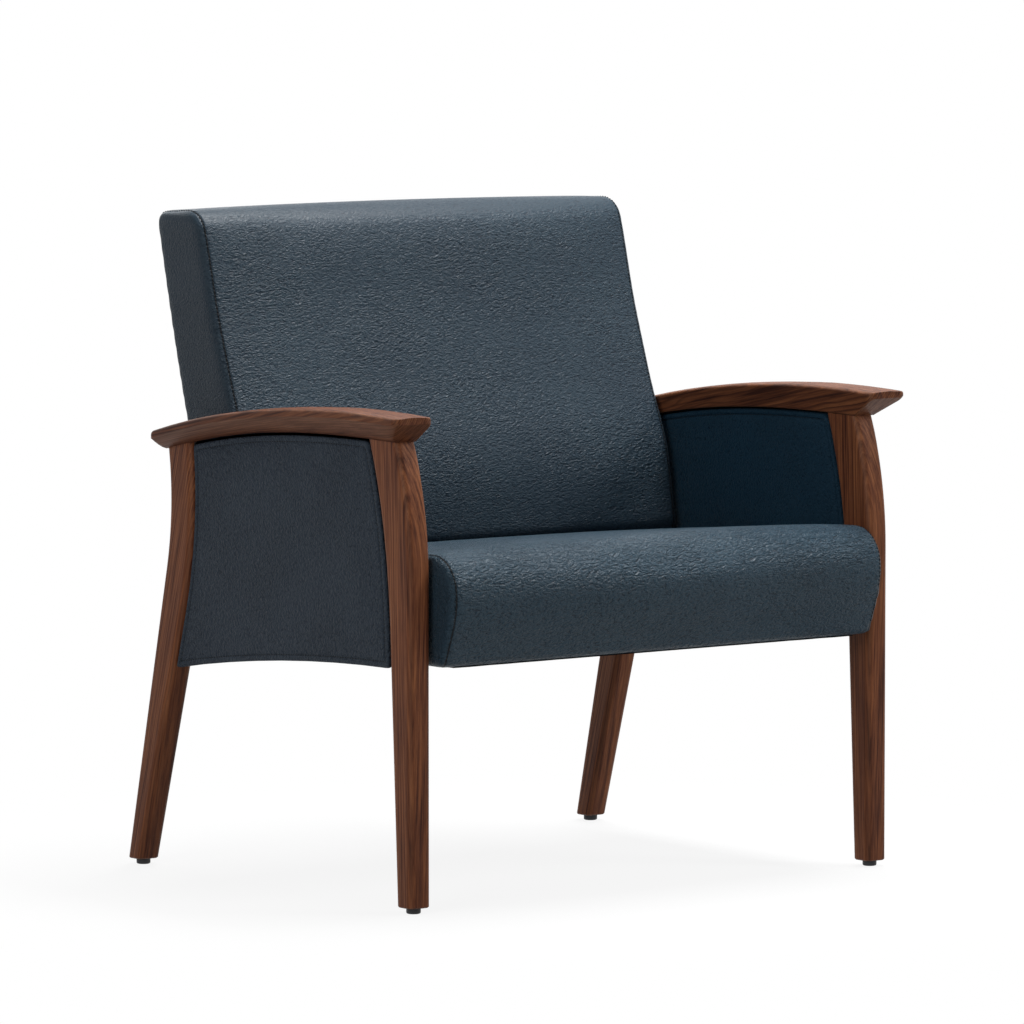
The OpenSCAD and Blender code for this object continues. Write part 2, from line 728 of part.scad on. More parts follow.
module seat_bearer() {
    color(steel) difference() {
        union() {
            block([rail_in - bearer_t, bearer_front_y, bearer_low],
                [rail_in, bearer_rear_y, bearer_low + bearer_h]);
            block([bearer_in, bearer_front_y, bearer_low],
                [rail_in - bearer_t / 2, bearer_rear_y, seat_under_h]);
        }
        bearer_screw_holes(screw_d + bore_fit * 2);
        countersink(bore_fit);
        for (y = bearer_places) translate([seat_screw_x, y, bearer_low - cut])
            cylinder(d = screw_d + bore_fit * 2, h = bearer_t + cut * 2);
    }
}

screw_end_gap = 1;
module bearer_screws() {
    color(steel) both_sides() for (y = bearer_places)
        translate([rail_in - bearer_t, y, bearer_screw_h]) rotate([0, 90, 0]) {
            cylinder(d = screw_d, h = screw_l - screw_end_gap);
            cylinder(d1 = csk_d, d2 = screw_d, h = csk_h);
        }
}

button_d = 12;
button_h = 3;
module seat_screws() {
    color(steel) both_sides() for (y = bearer_places)
        translate([seat_screw_x, y, bearer_low]) {
            cylinder(d = screw_d, h = bearer_t + screw_l - screw_end_gap);
            translate([0, 0, -button_h]) cylinder(d = button_d, h = button_h);
        }
}

// BACK

// The back's foot lies just over the seat; its rear line climbs at the rake
back_foot_y = heel_y - back_heel_in;
back_rear_y = back_foot_y + back_foot_t;
back_low_front = seat_seam(back_foot_y) + seat_crown + soft_fit;
back_low_rear = seat_seam(back_rear_y) + seat_crown + soft_fit;
back_top_fall = 4;
back_top_front_y = back_foot_y + (back_top_h - back_low_front) * tan(back_face_rake);
back_top_rear_y = back_rear_y + (back_top_h - back_low_rear) * tan(back_rake);
back_foot_r = 22;
back_rear_r = back_edge_r + edge_spare;
back_step = 46;
function back_profile() = fill_in(round_poly([
    [back_foot_y, back_low_front, back_foot_r],
    [back_rear_y, back_low_rear, back_rear_r],
    [back_top_rear_y, back_top_h - back_top_fall, back_rear_r],
    [back_top_front_y, back_top_h, back_top_r]]), back_step);

// How near a point of the back's section is to its face: 1 on the face, 0 at the rear
function back_near(p) = let (
    f = back_foot_y + (p.y - back_low_front) * tan(back_face_rake),
    b = back_rear_y + (p.y - back_low_rear) * tan(back_rake))
    ramp((b - p.x) / (b - f));
lumbar_spread = 65;
function swell(z, at, spread) = exp(-pow((z - at) / spread, 2));
hollow_h = (lumbar_h + back_top_h) / 2 + lumbar_spread / 2;
function back_face_shift(z) = back_hollow * swell(z, hollow_h, lumbar_spread)
    - lumbar * swell(z, lumbar_h, lumbar_spread);
function bow_at(z) = back_bow * sin(180 * ramp((z - back_low_rear) / (back_top_h - back_low_rear)));
function bend(p) = [p.x + back_face_shift(p.y) * back_near(p) + bow_at(p.y) * (1 - back_near(p)), p.y];
// Share of the crown: full on the face, less over the top and none at the rear and the foot
back_puff_rise = 70;
back_top_share = 0.3;
function back_face_puff(p) = back_near(p) * ease((p.y - back_low_front) / back_puff_rise)
    * mix(back_top_share, 1, ease((back_top_h - p.y) / back_puff_rise));
function back_top_puff(p) = back_top_share * ease((p.y - back_top_h + back_top_r) / back_top_r)
    * ease(back_near(p) / back_top_share);
function back_puff(p) = max(back_face_puff(p), back_top_puff(p));
// How far the foot's underside follows the seat's crown down towards the sides
back_foot_rise = 44;
function foot_fall(p, x) = seat_crown * (1 - crown_at(x, half_w))
    * (1 - ease((p.y - back_low_front) / back_foot_rise));
module back_form() {
    pts = [for (p = back_profile()) bend(p)];
    puff = [for (p = back_profile()) back_puff(p)];
    dirs = outward(pts);
    loft([for (row = cushion_rows(half_w, back_edge_r))
        [for (i = [0 : len(pts) - 1])
            let (p = pts[i] + dirs[i] * (back_crown * crown_at(row.x, half_w) * puff[i] - row.y))
            [row.x, p.x, p.y - foot_fall(pts[i], row.x)]]]);
}

// Frame of the back: origin at its rear foot, z up along its rear face, y to the rear
module in_back() {
    translate([0, back_rear_y, back_low_rear]) rotate([-back_rake, 0, 0]) children();
}

back_l = (back_top_h - back_low_rear) / cos(back_rake);
back_half = half_w - back_side_t;
stile_low = 10;
stile_high = back_l - back_top_r;
stile_rear = -outer_back_t;
stile_front = stile_rear - stile_d;
strap_t = 1.5;
back_foam_t = 34;
back_foam_edge = 12;
back_foam_front = stile_front - strap_t - back_foam_t;

// Bolts that hang the back between the rear legs
back_bolt_in = 9;
// Places of the bolts, as shares of the way from the stile's foot to the top of the rear leg
back_bolt_shares = [0.331, 0.635];
back_bolt_span = (rear_top_h - back_low_rear) / cos(back_rake) - stile_low;
insert_l = 22;
bolt_gap = 2;
bolt_head_d = 14;
bolt_head_h = 4.5;
head_gap = 1.1;
spacer_l = leg_in - back_half;

module back_stile() {
    color(hardwood) difference() {
        in_back() block([back_half - stile_w, stile_front, stile_low], [back_half, stile_rear, stile_high]);
        at_back_bolts() translate([0, 0, back_half - stile_w - cut])
            cylinder(d = bolt_d + bore_fit * 2, h = stile_w + cut * 2);
    }
}

// The rails are as high as the heads of the lower bolts leave room for
back_rail_h = back_bolt_shares[0] * back_bolt_span - bolt_head_d / 2 - head_gap;
module back_rail(low) {
    color(hardwood) in_back() block([stile_w - back_half, stile_front, low],
        [back_half - stile_w, stile_rear, low + back_rail_h]);
}
back_rail_mid = mix(stile_low, stile_high - back_rail_h, 0.5);

module back_webbing() {
    first = stile_low + back_rail_h / 2;
    last = stile_high - back_rail_h / 2 - strap_w;
    color(black) in_back() for (i = [0 : strap_n - 1]) let (z = mix(first, last, i / (strap_n - 1)))
        block([-back_half, stile_front - strap_t, z], [back_half, stile_front, z + strap_w]);
}

module back_foam_block(gap) {
    in_back() block(
        [stile_w - back_half - gap, back_foam_front - gap, stile_low + back_foam_edge - gap],
        [back_half - stile_w + gap, back_foam_front + back_foam_t, stile_high - back_foam_edge + gap]);
}

module back_foam() {
    color(foam) back_foam_block(0);
}

module back_cover() {
    color(vinyl) difference() {
        back_form();
        in_back() block(
            [-back_half - seat_fit, stile_front - strap_t - seat_fit, stile_low - seat_fit],
            [back_half + seat_fit, back_foam_t, stile_high + seat_fit]);
        back_foam_block(seat_fit);
        both_sides() at_back_bolts() translate([0, 0, back_half - cut])
            cylinder(d = spacer_d + soft_fit * 2, h = back_side_t + cut * 2);
    }
}

// Upholstered board that closes the back from behind, bowed like the cover around it
outer_steps = 10;
module outer_back_panel() {
    rear = [for (i = [0 : outer_steps]) let (z = mix(stile_low, stile_high, i / outer_steps))
        [back_bow * sin(180 * z / back_l), z]];
    color(vinyl) in_back() slab(-back_half, back_half)
        polygon(concat([[stile_rear, stile_high], [stile_rear, stile_low]], rear));
}

// Turns a child's z axis to +X at each bolt
module at_back_bolts() {
    for (share = back_bolt_shares)
        in_back() translate([0, stile_rear - back_bolt_in, stile_low + share * back_bolt_span])
            rotate([0, 90, 0]) children();
}

module back_spacers() {
    color(steel) both_sides() at_back_bolts() difference() {
        translate([0, 0, back_half]) cylinder(d = spacer_d, h = spacer_l);
        translate([0, 0, back_half - cut]) cylinder(d = bolt_d + bore_fit * 2, h = spacer_l + cut * 2);
    }
}

module back_bolts() {
    color(steel) both_sides() at_back_bolts() {
        translate([0, 0, back_half - stile_w])
            cylinder(d = bolt_d, h = stile_w + spacer_l + insert_l - bolt_gap);
        translate([0, 0, back_half - stile_w - bolt_head_h]) cylinder(d = bolt_head_d, h = bolt_head_h);
    }
}

module back_inserts() {
    color(steel) both_sides() at_back_bolts() difference() {
        translate([0, 0, leg_in]) cylinder(d = insert_d, h = insert_l);
        translate([0, 0, leg_in - cut]) cylinder(d = bolt_d + bore_fit * 2, h = insert_l + cut * 2);
    }
}

// GLIDES

base_round = 2;
base_floor = 2.5;
base_round_share = 0.3;
base_gap = 0.3;
module glide_base(corner) {
    r = glide_d / 2;
    color(black) at_glide(corner) difference() {
        rotate_extrude() polygon([[0, 0], [r - base_round, 0], 
            [r - base_round * base_round_share, base_round * base_round_share],
            [r, base_round], [r, glide_h - base_gap], [0, glide_h - base_gap]]);
        translate([0, 0, base_floor]) cylinder(d = stem_d + bore_fit * 2, h = glide_h);
    }
}

module glide_stem(corner) {
    color(steel) at_glide(corner) translate([0, 0, base_floor]) cylinder(d = stem_d, h = stem_l);
}

module glide_inserts() {
    color(steel) for (corner = CORNERS) at_glide(corner) difference() {
        translate([0, 0, glide_h]) cylinder(d = stem_insert_d, h = stem_insert_l);
        translate([0, 0, glide_h - cut]) cylinder(d = stem_d + bore_fit * 2, h = stem_insert_l + cut * 2);
    }
}

sided("left") front_leg();  // front_leg_left
sided("right") front_leg();  // front_leg_right
sided("left") rear_leg();  // rear_leg_left
sided("right") rear_leg();  // rear_leg_right
sided("left") arm();  // arm_left
sided("right") arm();  // arm_right
arm_dowels();
sided("left") side_rail();  // side_rail_left
sided("right") side_rail();  // side_rail_right
rail_dowels();
sided("left") panel_board();  // panel_board_left
sided("right") panel_board();  // panel_board_right
sided("left") panel_outer();  // panel_outer_left
sided("right") panel_outer();  // panel_outer_right
sided("left") panel_inner();  // panel_inner_left
sided("right") panel_inner();  // panel_inner_right
sided("left") seat_bearer();  // seat_bearer_left
sided("right") seat_bearer();  // seat_bearer_right
bearer_screws();
seat_screws();
seat_cross_rail(frame_front_y);  // seat_front_rail
seat_cross_rail(frame_rear_y - seat_rail_t);  // seat_rear_rail
sided("left") seat_side_rail();  // seat_side_rail_left
sided("right") seat_side_rail();  // seat_side_rail_right
seat_brace(brace_front_share);  // seat_brace_front
seat_brace(brace_rear_share);  // seat_brace_rear
seat_corner_blocks();
seat_deck();
seat_foam();
seat_cover();
seat_dust_cover();
sided("left") back_stile();  // back_stile_left
sided("right") back_stile();  // back_stile_right
back_rail(stile_high - back_rail_h);  // back_top_rail
back_rail(back_rail_mid);  // back_middle_rail
back_rail(stile_low);  // back_bottom_rail
back_webbing();
back_foam();
back_cover();
outer_back_panel();
back_spacers();
back_bolts();
back_inserts();
glide_inserts();
glide_base("front_left");  // glide_base_front_left
glide_base("front_right");  // glide_base_front_right
glide_base("rear_left");  // glide_base_rear_left
glide_base("rear_right");  // glide_base_rear_right
glide_stem("front_left");  // glide_stem_front_left
glide_stem("front_right");  // glide_stem_front_right
glide_stem("rear_left");  // glide_stem_rear_left
glide_stem("rear_right");  // glide_stem_rear_right
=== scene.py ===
"""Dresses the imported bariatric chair: cushions, upholstered panels, stitching and finishes.

Metres, in the frame of the model: the floor is z = 0, the sitter faces -Y and x = 0 is the middle.
"""
import json
import math

import bmesh
import bpy
import numpy as np
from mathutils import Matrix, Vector
from mathutils.bvhtree import BVHTree
from mathutils.geometry import delaunay_2d_cdt


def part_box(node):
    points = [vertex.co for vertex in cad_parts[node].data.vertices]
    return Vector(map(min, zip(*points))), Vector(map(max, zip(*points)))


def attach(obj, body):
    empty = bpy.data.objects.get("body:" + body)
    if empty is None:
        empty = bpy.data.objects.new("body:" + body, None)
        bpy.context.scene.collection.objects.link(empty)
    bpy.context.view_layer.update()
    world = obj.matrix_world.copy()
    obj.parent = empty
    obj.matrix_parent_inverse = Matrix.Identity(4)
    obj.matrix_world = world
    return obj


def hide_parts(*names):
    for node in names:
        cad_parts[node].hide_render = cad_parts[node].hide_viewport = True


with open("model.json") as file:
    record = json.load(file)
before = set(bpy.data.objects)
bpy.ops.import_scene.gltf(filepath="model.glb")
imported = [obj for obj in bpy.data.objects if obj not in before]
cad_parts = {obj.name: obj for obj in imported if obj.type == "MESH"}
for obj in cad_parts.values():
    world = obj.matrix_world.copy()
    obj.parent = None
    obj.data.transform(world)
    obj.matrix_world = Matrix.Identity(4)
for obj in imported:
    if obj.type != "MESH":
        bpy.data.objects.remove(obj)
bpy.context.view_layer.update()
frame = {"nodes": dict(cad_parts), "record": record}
NODES = frame["nodes"]
ROOT = "chair"
MM = 0.001
SIDES = {"left": -1, "right": 1}

# Camera, at the photograph's place and angle
CAMERA_AT = (-6.092, -7.952, 1.347)
CAMERA_YAW = 37.419
CAMERA_TILT = 4.940
CAMERA_LENS = 262.24

# Seat section, as the model has it
SEAT_CROWN = 7 * MM
SEAT_SEAM_H = 465.5 * MM
SEAT_RAKE = 5.1
NOSE_R = 50 * MM
NOSE_FOOT = 27 * MM
NOSE_FOOT_R = 7 * MM
NOSE_BEND_H = 392 * MM
NOSE_BEND_R = 110 * MM
SEAT_EDGE_R = 9 * MM
SEAT_TURN_UNDER = 0.9 * MM
SEAT_REAR_R = 12 * MM
SEAT_PUFF_RISE = 80 * MM
SEAT_PUFF_FADE = 96 * MM

# Back section, as the model has it
BACK_HEEL_IN = 247.5 * MM
BACK_FOOT_T = 106 * MM
BACK_TOP_H = 890 * MM
BACK_TOP_FALL = 4 * MM
BACK_RAKE = 15.6
BACK_FACE_RAKE = 16.5
BACK_CROWN = 9 * MM
BACK_TOP_SHARE = 0.3
BACK_PUFF_RISE = 70 * MM
BACK_BOW = 8 * MM
BACK_HOLLOW = 3.5 * MM
LUMBAR = 11.5 * MM
LUMBAR_H = 549 * MM
LUMBAR_SPREAD = 65 * MM
BACK_EDGE_R = 11 * MM
BACK_REAR_R = 13 * MM
BACK_FOOT_R = 13 * MM
BACK_TOP_R = 36 * MM
SOFT_FIT = 0.3 * MM
BACK_SINK = 4.5 * MM
BACK_SINK_RISE = 45 * MM

# Upholstery
FRONT_ROLL = 1.15
FOOT_ROLL = 0.15
TACKED_FOOT = 40 * MM
VOXEL = 6 * MM
SWELL_FRAMES = 20
SWELL = 4 * MM
SWELL_SHARE = 0.8
SEAT_SEAM_IN = 6.5 * MM
BACK_SEAM_IN = 9 * MM
BACK_CALM_H = 864 * MM
STITCH_PITCH = 5.5 * MM
STITCH_LENGTH = 3.8 * MM
STITCH_RINGS = ((-1, 0.25), (-0.7, 0.85), (0, 1.0), (0.7, 0.85), (1, 0.25))
STITCH_SIDES = 6
STITCH_ARCH = 0.9
THREAD_R = 0.6 * MM
CUSHION_HALF = 362 * MM

# Colours, as the photograph shows them, each row from shade to light; in the vinyl rows that runs from
# painted shade in the fold valleys to a painted highlight on the ridges
BACK_TONES = ("#19252f", "#25323e", "#30404b")
# The seat has the back's vinyl, with lighter tones: painted light on the seat
SEAT_TONES_PAINTED_LIGHTER = ("#1a2a36", "#273946", "#334957")
SIDE_TONES = ("#212932", "#29323d", "#2f3944")
INNER_TONES = ("#132532", "#182f3f", "#203b4c")
THREAD = "#0a1016"
LEG_TONES = ("#3d1d12", "#6c3e28", "#844f32", "#9c623e")
ARM_TONES = ("#35190f", "#5f3622", "#75452b", "#8a5636")
# Lighter colour on rounded wood edges: edge wear and a painted highlight
WOOD_EDGE_WEAR_AND_SHEEN = "#93674b"
WOOD_PORE = "#1f0f08"


# GEOMETRY

CORNER_STEPS = 10
SIDE_ROLL_STEPS = 5
CLEAR_SHARE = 0.6
LOOP_SKIP = 3


def mix(a, b, t):
    return a + (b - a) * t


def ramp(t):
    return min(1.0, max(0.0, t))


def ease(t):
    t = ramp(t)
    return t * t * (3 - 2 * t)


def tan(degrees):
    return math.tan(math.radians(degrees))


def round_corners(corners):
    """Points of a polygon whose corners (u, v, radius) are rounded, counter-clockwise."""
    points = []
    for i, (u, v, r) in enumerate(corners):
        at = Vector((u, v))
        back = (Vector(corners[i - 1][:2]) - at).normalized()
        ahead = (Vector(corners[(i + 1) % len(corners)][:2]) - at).normalized()
        half = math.acos(back.dot(ahead)) / 2
        centre = at + (back + ahead).normalized() * r / math.sin(half)
        start = at + back * r / math.tan(half) - centre
        first = math.atan2(start.y, start.x)
        for k in range(CORNER_STEPS + 1):
            a = first + (math.pi - 2 * half) * k / CORNER_STEPS
            points.append(centre + Vector((math.cos(a), math.sin(a))) * r)
    return points


def fill_in(points, step):
    """The same outline with no side longer than step."""
    out = []
    for a, b in zip(points, points[1:] + points[:1]):
        n = max(1, math.ceil((b - a).length / step))
        out += [a.lerp(b, j / n) for j in range(n)]
    return out


def outward(points):
    """Outward direction of a counter-clockwise outline at each of its points."""
    out = []
    for i in range(len(points)):
        t = (points[(i + 1) % len(points)] - points[i - 1]).normalized()
        out.append(Vector((t.y, -t.x)))
    return out


def nearest_side(p, loop):
    """How far a point inside a loop is from the loop."""
    best = 1e9
    for a, b in zip(loop, loop[1:] + loop[:1]):
        side = b - a
        t = ramp((p - a).dot(side) / max(side.length_squared, 1e-12))
        best = min(best, (p - a - side * t).length)
    return best


def field_points(loop, step):
    """Even points inside a loop and over half a step clear of it, each with its distance to the loop."""
    lowest = Vector((min(p.x for p in loop), min(p.y for p in loop)))
    highest = Vector((max(p.x for p in loop), max(p.y for p in loop)))
    tree = BVHTree.FromPolygons([(p.x, p.y, 0) for p in loop], [list(range(len(loop)))])
    out = []
    row = 0
    v = lowest.y + step / 2
    while v < highest.y:
        u = lowest.x + step / 2 + (row % 2) * step / 2
        while u < highest.x:
            if tree.ray_cast((u, v, 1), (0, 0, -1))[0] is not None:
                p = Vector((u, v))
                gap = nearest_side(p, loop[::LOOP_SKIP])
                if gap > step * CLEAR_SHARE:
                    out.append((p, gap))
            u += step
        v += step * math.sqrt(3) / 2
        row += 1
    return out


def new_object(name, bm):
    bmesh.ops.recalc_face_normals(bm, faces=bm.faces)
    mesh = bpy.data.meshes.new(name)
    bm.to_mesh(mesh)
    bm.free()
    mesh.polygons.foreach_set("use_smooth", [True] * len(mesh.polygons))
    obj = bpy.data.objects.new(name, mesh)
    bpy.context.scene.collection.objects.link(obj)
    return obj


def loft(name, rings):
    """Closed skin through rings of equally many points."""
    bm = bmesh.new()
    rows = [[bm.verts.new(p) for p in ring] for ring in rings]
    for low, high in zip(rows, rows[1:]):
        for i in range(len(low)):
            j = (i + 1) % len(low)
            bm.faces.new((low[i], low[j], high[j], high[i]))
    bm.faces.new(rows[0])
    bm.faces.new(rows[-1])
    return new_object(name, bm)


def seat_seam(y, crest_y):
    return SEAT_SEAM_H - (y - crest_y) * tan(SEAT_RAKE)


def seat_section(lowest, highest):
    """Outline of the seat's side, (y, z), and the share of the crown at each point."""
    nose_y = lowest.y + SEAT_CROWN
    rear_y, low = highest.y, lowest.z
    crest_y = nose_y + NOSE_R
    points = fill_in(round_corners([
        (nose_y + NOSE_FOOT, low, NOSE_FOOT_R),
        (rear_y, low, SEAT_REAR_R),
        (rear_y, seat_seam(rear_y, crest_y), SEAT_REAR_R),
        (nose_y, seat_seam(nose_y, crest_y), NOSE_R),
        (nose_y, NOSE_BEND_H, NOSE_BEND_R)]), VOXEL)
    puff = [ease((p.y - low) / SEAT_PUFF_RISE) * ease((rear_y - p.x) / SEAT_PUFF_FADE) for p in points]
    return points, puff


def back_foot(chair_front):
    """The back's foot on the seat: (y, z) of its front and of its rear."""
    crest_y = chair_front + SEAT_CROWN + NOSE_R
    foot_y = -chair_front - BACK_HEEL_IN
    rear_y = foot_y + BACK_FOOT_T
    lift = SEAT_CROWN + SOFT_FIT
    return (foot_y, seat_seam(foot_y, crest_y) + lift), (rear_y, seat_seam(rear_y, crest_y) + lift)


def back_section(chair_front):
    """Outline of the back's side, (y, z), and the share of the crown at each point."""
    (foot_y, low_front), (rear_y, low_rear) = back_foot(chair_front)
    top_front_y = foot_y + (BACK_TOP_H - low_front) * tan(BACK_FACE_RAKE)
    top_rear_y = rear_y + (BACK_TOP_H - low_rear) * tan(BACK_RAKE)
    flat = fill_in(round_corners([
        (foot_y, low_front, BACK_FOOT_R),
        (rear_y, low_rear, BACK_REAR_R),
        (top_rear_y, BACK_TOP_H - BACK_TOP_FALL, BACK_REAR_R),
        (top_front_y, BACK_TOP_H, BACK_TOP_R)]), VOXEL)
    hollow_h = (LUMBAR_H + BACK_TOP_H) / 2 + LUMBAR_SPREAD / 2

    def nearness(p):
        f = foot_y + (p.y - low_front) * tan(BACK_FACE_RAKE)
        b = rear_y + (p.y - low_rear) * tan(BACK_RAKE)
        return ramp((b - p.x) / (b - f))

    def swell(z, at):
        return math.exp(-((z - at) / LUMBAR_SPREAD) ** 2)

    points, puff = [], []
    for p in flat:
        near = nearness(p)
        bow = BACK_BOW * math.sin(math.pi * ramp((p.y - low_rear) / (BACK_TOP_H - low_rear)))
        face = BACK_HOLLOW * swell(p.y, hollow_h) - LUMBAR * swell(p.y, LUMBAR_H)
        points.append(Vector((p.x + face * near + bow * (1 - near), p.y)))
        on_face = near * ease((p.y - low_front) / BACK_PUFF_RISE)
        on_face *= mix(BACK_TOP_SHARE, 1, ease((BACK_TOP_H - p.y) / BACK_PUFF_RISE))
        on_top = BACK_TOP_SHARE * ease((p.y - BACK_TOP_H + BACK_TOP_R) / BACK_TOP_R)
        puff.append(max(on_face, on_top * ease(near / BACK_TOP_SHARE)))
    return points, puff


def cushion_rows(half, r):
    """Places across a cushion as (x, inset), rounded at both sides."""
    side = [(half - r + r * math.cos(a), r - r * math.sin(a))
            for a in (math.pi / 2 * i / SIDE_ROLL_STEPS for i in range(SIDE_ROLL_STEPS + 1))]
    n = math.ceil(2 * (half - r) / VOXEL)
    span = [(mix(r - half, half - r, i / n), 0.0) for i in range(1, n)]
    return [(-x, inset) for x, inset in side] + span + side[::-1]


def cushion(name, section, half, edge_r, crown, roll, sink=None):
    """A closed upholstered form: a section across the chair, crowned between its side seams.

    The side edges are rolled by edge_r, and roll(p, d) times that at a point p that faces d.
    sink(x, p) is how far a point of the section comes down at the place x.
    """
    points, puff = section
    dirs = outward(points)
    rings = []
    for x, inset in cushion_rows(half, edge_r):
        share = crown * (1 - (abs(x) / half) ** 2)
        ring = []
        for p, d, s in zip(points, dirs, puff):
            q = p + d * (share * s - inset * roll(p, d))
            down = sink(x, p) if sink else 0
            ring.append((x, q.x, q.y - down))
        rings.append(ring)
    return loft(name, rings)


# CLOTH SIMULATION

COVER = {
    "quality": 4, "mass": 0.3, "tension_stiffness": 25, "compression_stiffness": 25,
    "shear_stiffness": 12, "bending_stiffness": 2, "use_pressure": True, "uniform_pressure_force": 4.0,
}
EVENING_FACTOR = 0.5
EVENING_ROUNDS = 3


def coordinates(mesh):
    co = np.empty(len(mesh.vertices) * 3)
    mesh.vertices.foreach_get("co", co)
    return co.reshape(-1, 3)


def set_coordinates(mesh, co):
    mesh.vertices.foreach_set("co", co.ravel())
    mesh.update()


def apply_modifiers(obj):
    depsgraph = bpy.context.evaluated_depsgraph_get()
    mesh = bpy.data.meshes.new_from_object(obj.evaluated_get(depsgraph))
    obj.modifiers.clear()
    obj.data = mesh


def swell_cloth(obj, held):
    """Inflates a closed piece as cloth under pressure; held(co) is 1 where it is tacked down."""
    remesh = obj.modifiers.new("remesh", "REMESH")
    remesh.mode = "VOXEL"
    remesh.voxel_size = VOXEL
    remesh.use_smooth_shade = True
    apply_modifiers(obj)
    start = coordinates(obj.data)
    pinned = held(start)
    group = obj.vertex_groups.new(name="tacked")
    for i in np.nonzero(pinned > 0)[0]:
        group.add([int(i)], float(pinned[i]), "REPLACE")
    cloth = obj.modifiers.new("cloth", "CLOTH")
    for name, value in COVER.items():
        setattr(cloth.settings, name, value)
    cloth.settings.vertex_group_mass = group.name
    cloth.settings.effector_weights.gravity = 0
    cloth.collision_settings.use_collision = False
    cloth.collision_settings.use_self_collision = False
    cloth.point_cache.frame_start = 1
    cloth.point_cache.frame_end = SWELL_FRAMES
    scene = bpy.context.scene
    for f in range(1, SWELL_FRAMES + 1):
        scene.frame_set(f)
    evaluated = obj.evaluated_get(bpy.context.evaluated_depsgraph_get())
    moved = coordinates(evaluated.data) - start
    obj.modifiers.clear()
    scene.frame_set(1)
    length = np.linalg.norm(moved, axis=1, keepdims=True)
    share = SWELL * np.tanh(length / SWELL) / np.maximum(length, 1e-9)
    set_coordinates(obj.data, start + moved * share)
    obj.vertex_groups.clear()
    smooth = obj.modifiers.new("even", "SMOOTH")
    smooth.factor = EVENING_FACTOR
    smooth.iterations = EVENING_ROUNDS
    subdivide = obj.modifiers.new("finer", "SUBSURF")
    subdivide.levels = 1
    subdivide.render_levels = 1
    apply_modifiers(obj)
    obj.data.polygons.foreach_set("use_smooth", [True] * len(obj.data.polygons))


# STITCHES

def stitches(name, path, normals):
    """Thread showing between needle holes along a path: one short capsule a stitch."""
    bm = bmesh.new()
    lengths = [0.0]
    for a, b in zip(path, path[1:]):
        lengths.append(lengths[-1] + (b - a).length)
    k = 0
    for i in range(int(lengths[-1] / STITCH_PITCH)):
        at = (i + 0.5) * STITCH_PITCH
        while k < len(path) - 2 and lengths[k + 1] < at:
            k += 1
        t = (at - lengths[k]) / max(lengths[k + 1] - lengths[k], 1e-9)
        centre = path[k].lerp(path[k + 1], t)
        along = (path[k + 1] - path[k]).normalized()
        up = normals[k].lerp(normals[k + 1], t).normalized()
        across = along.cross(up).normalized()
        rings = []
        for u, r in STITCH_RINGS:
            lift = up * THREAD_R * (STITCH_ARCH - STITCH_ARCH * u * u)
            ring = [bm.verts.new(centre + along * (u * STITCH_LENGTH / 2) + lift
                                 + (across * math.cos(a) + up * math.sin(a)) * THREAD_R * r)
                    for a in (math.tau * s / STITCH_SIDES for s in range(STITCH_SIDES))]
            rings.append(ring)
        for low, high in zip(rings, rings[1:]):
            for s in range(STITCH_SIDES):
                bm.faces.new((low[s], low[s - 1], high[s - 1], high[s]))
        bm.faces.new(rings[0])
        bm.faces.new(rings[-1])
    return new_object(name, bm)


def stitch_on(name, obj, guide, inward):
    """Stitches along the places where rays from a guide line meet a surface."""
    tree = BVHTree.FromObject(obj, bpy.context.evaluated_depsgraph_get())
    path, normals = [], []
    for p, d in zip(guide, inward):
        hit, normal, _, _ = tree.ray_cast(p, d)
        if hit is not None:
            path.append(hit)
            normals.append(normal)
    return stitches(name, path, normals)


# MATERIALS

def rgb(text):
    """Linear colour, with alpha, of a written sRGB one."""
    def linear(c):
        return c / 12.92 if c <= 0.04045 else ((c + 0.055) / 1.055) ** 2.4
    return tuple(linear(int(text[i:i + 2], 16) / 255) for i in (1, 3, 5)) + (1.0,)


def set_range(node, low, high, to_low, to_high):
    for name, value in (("From Min", low), ("From Max", high), ("To Min", to_low), ("To Max", to_high)):
        node.inputs[name].default_value = value


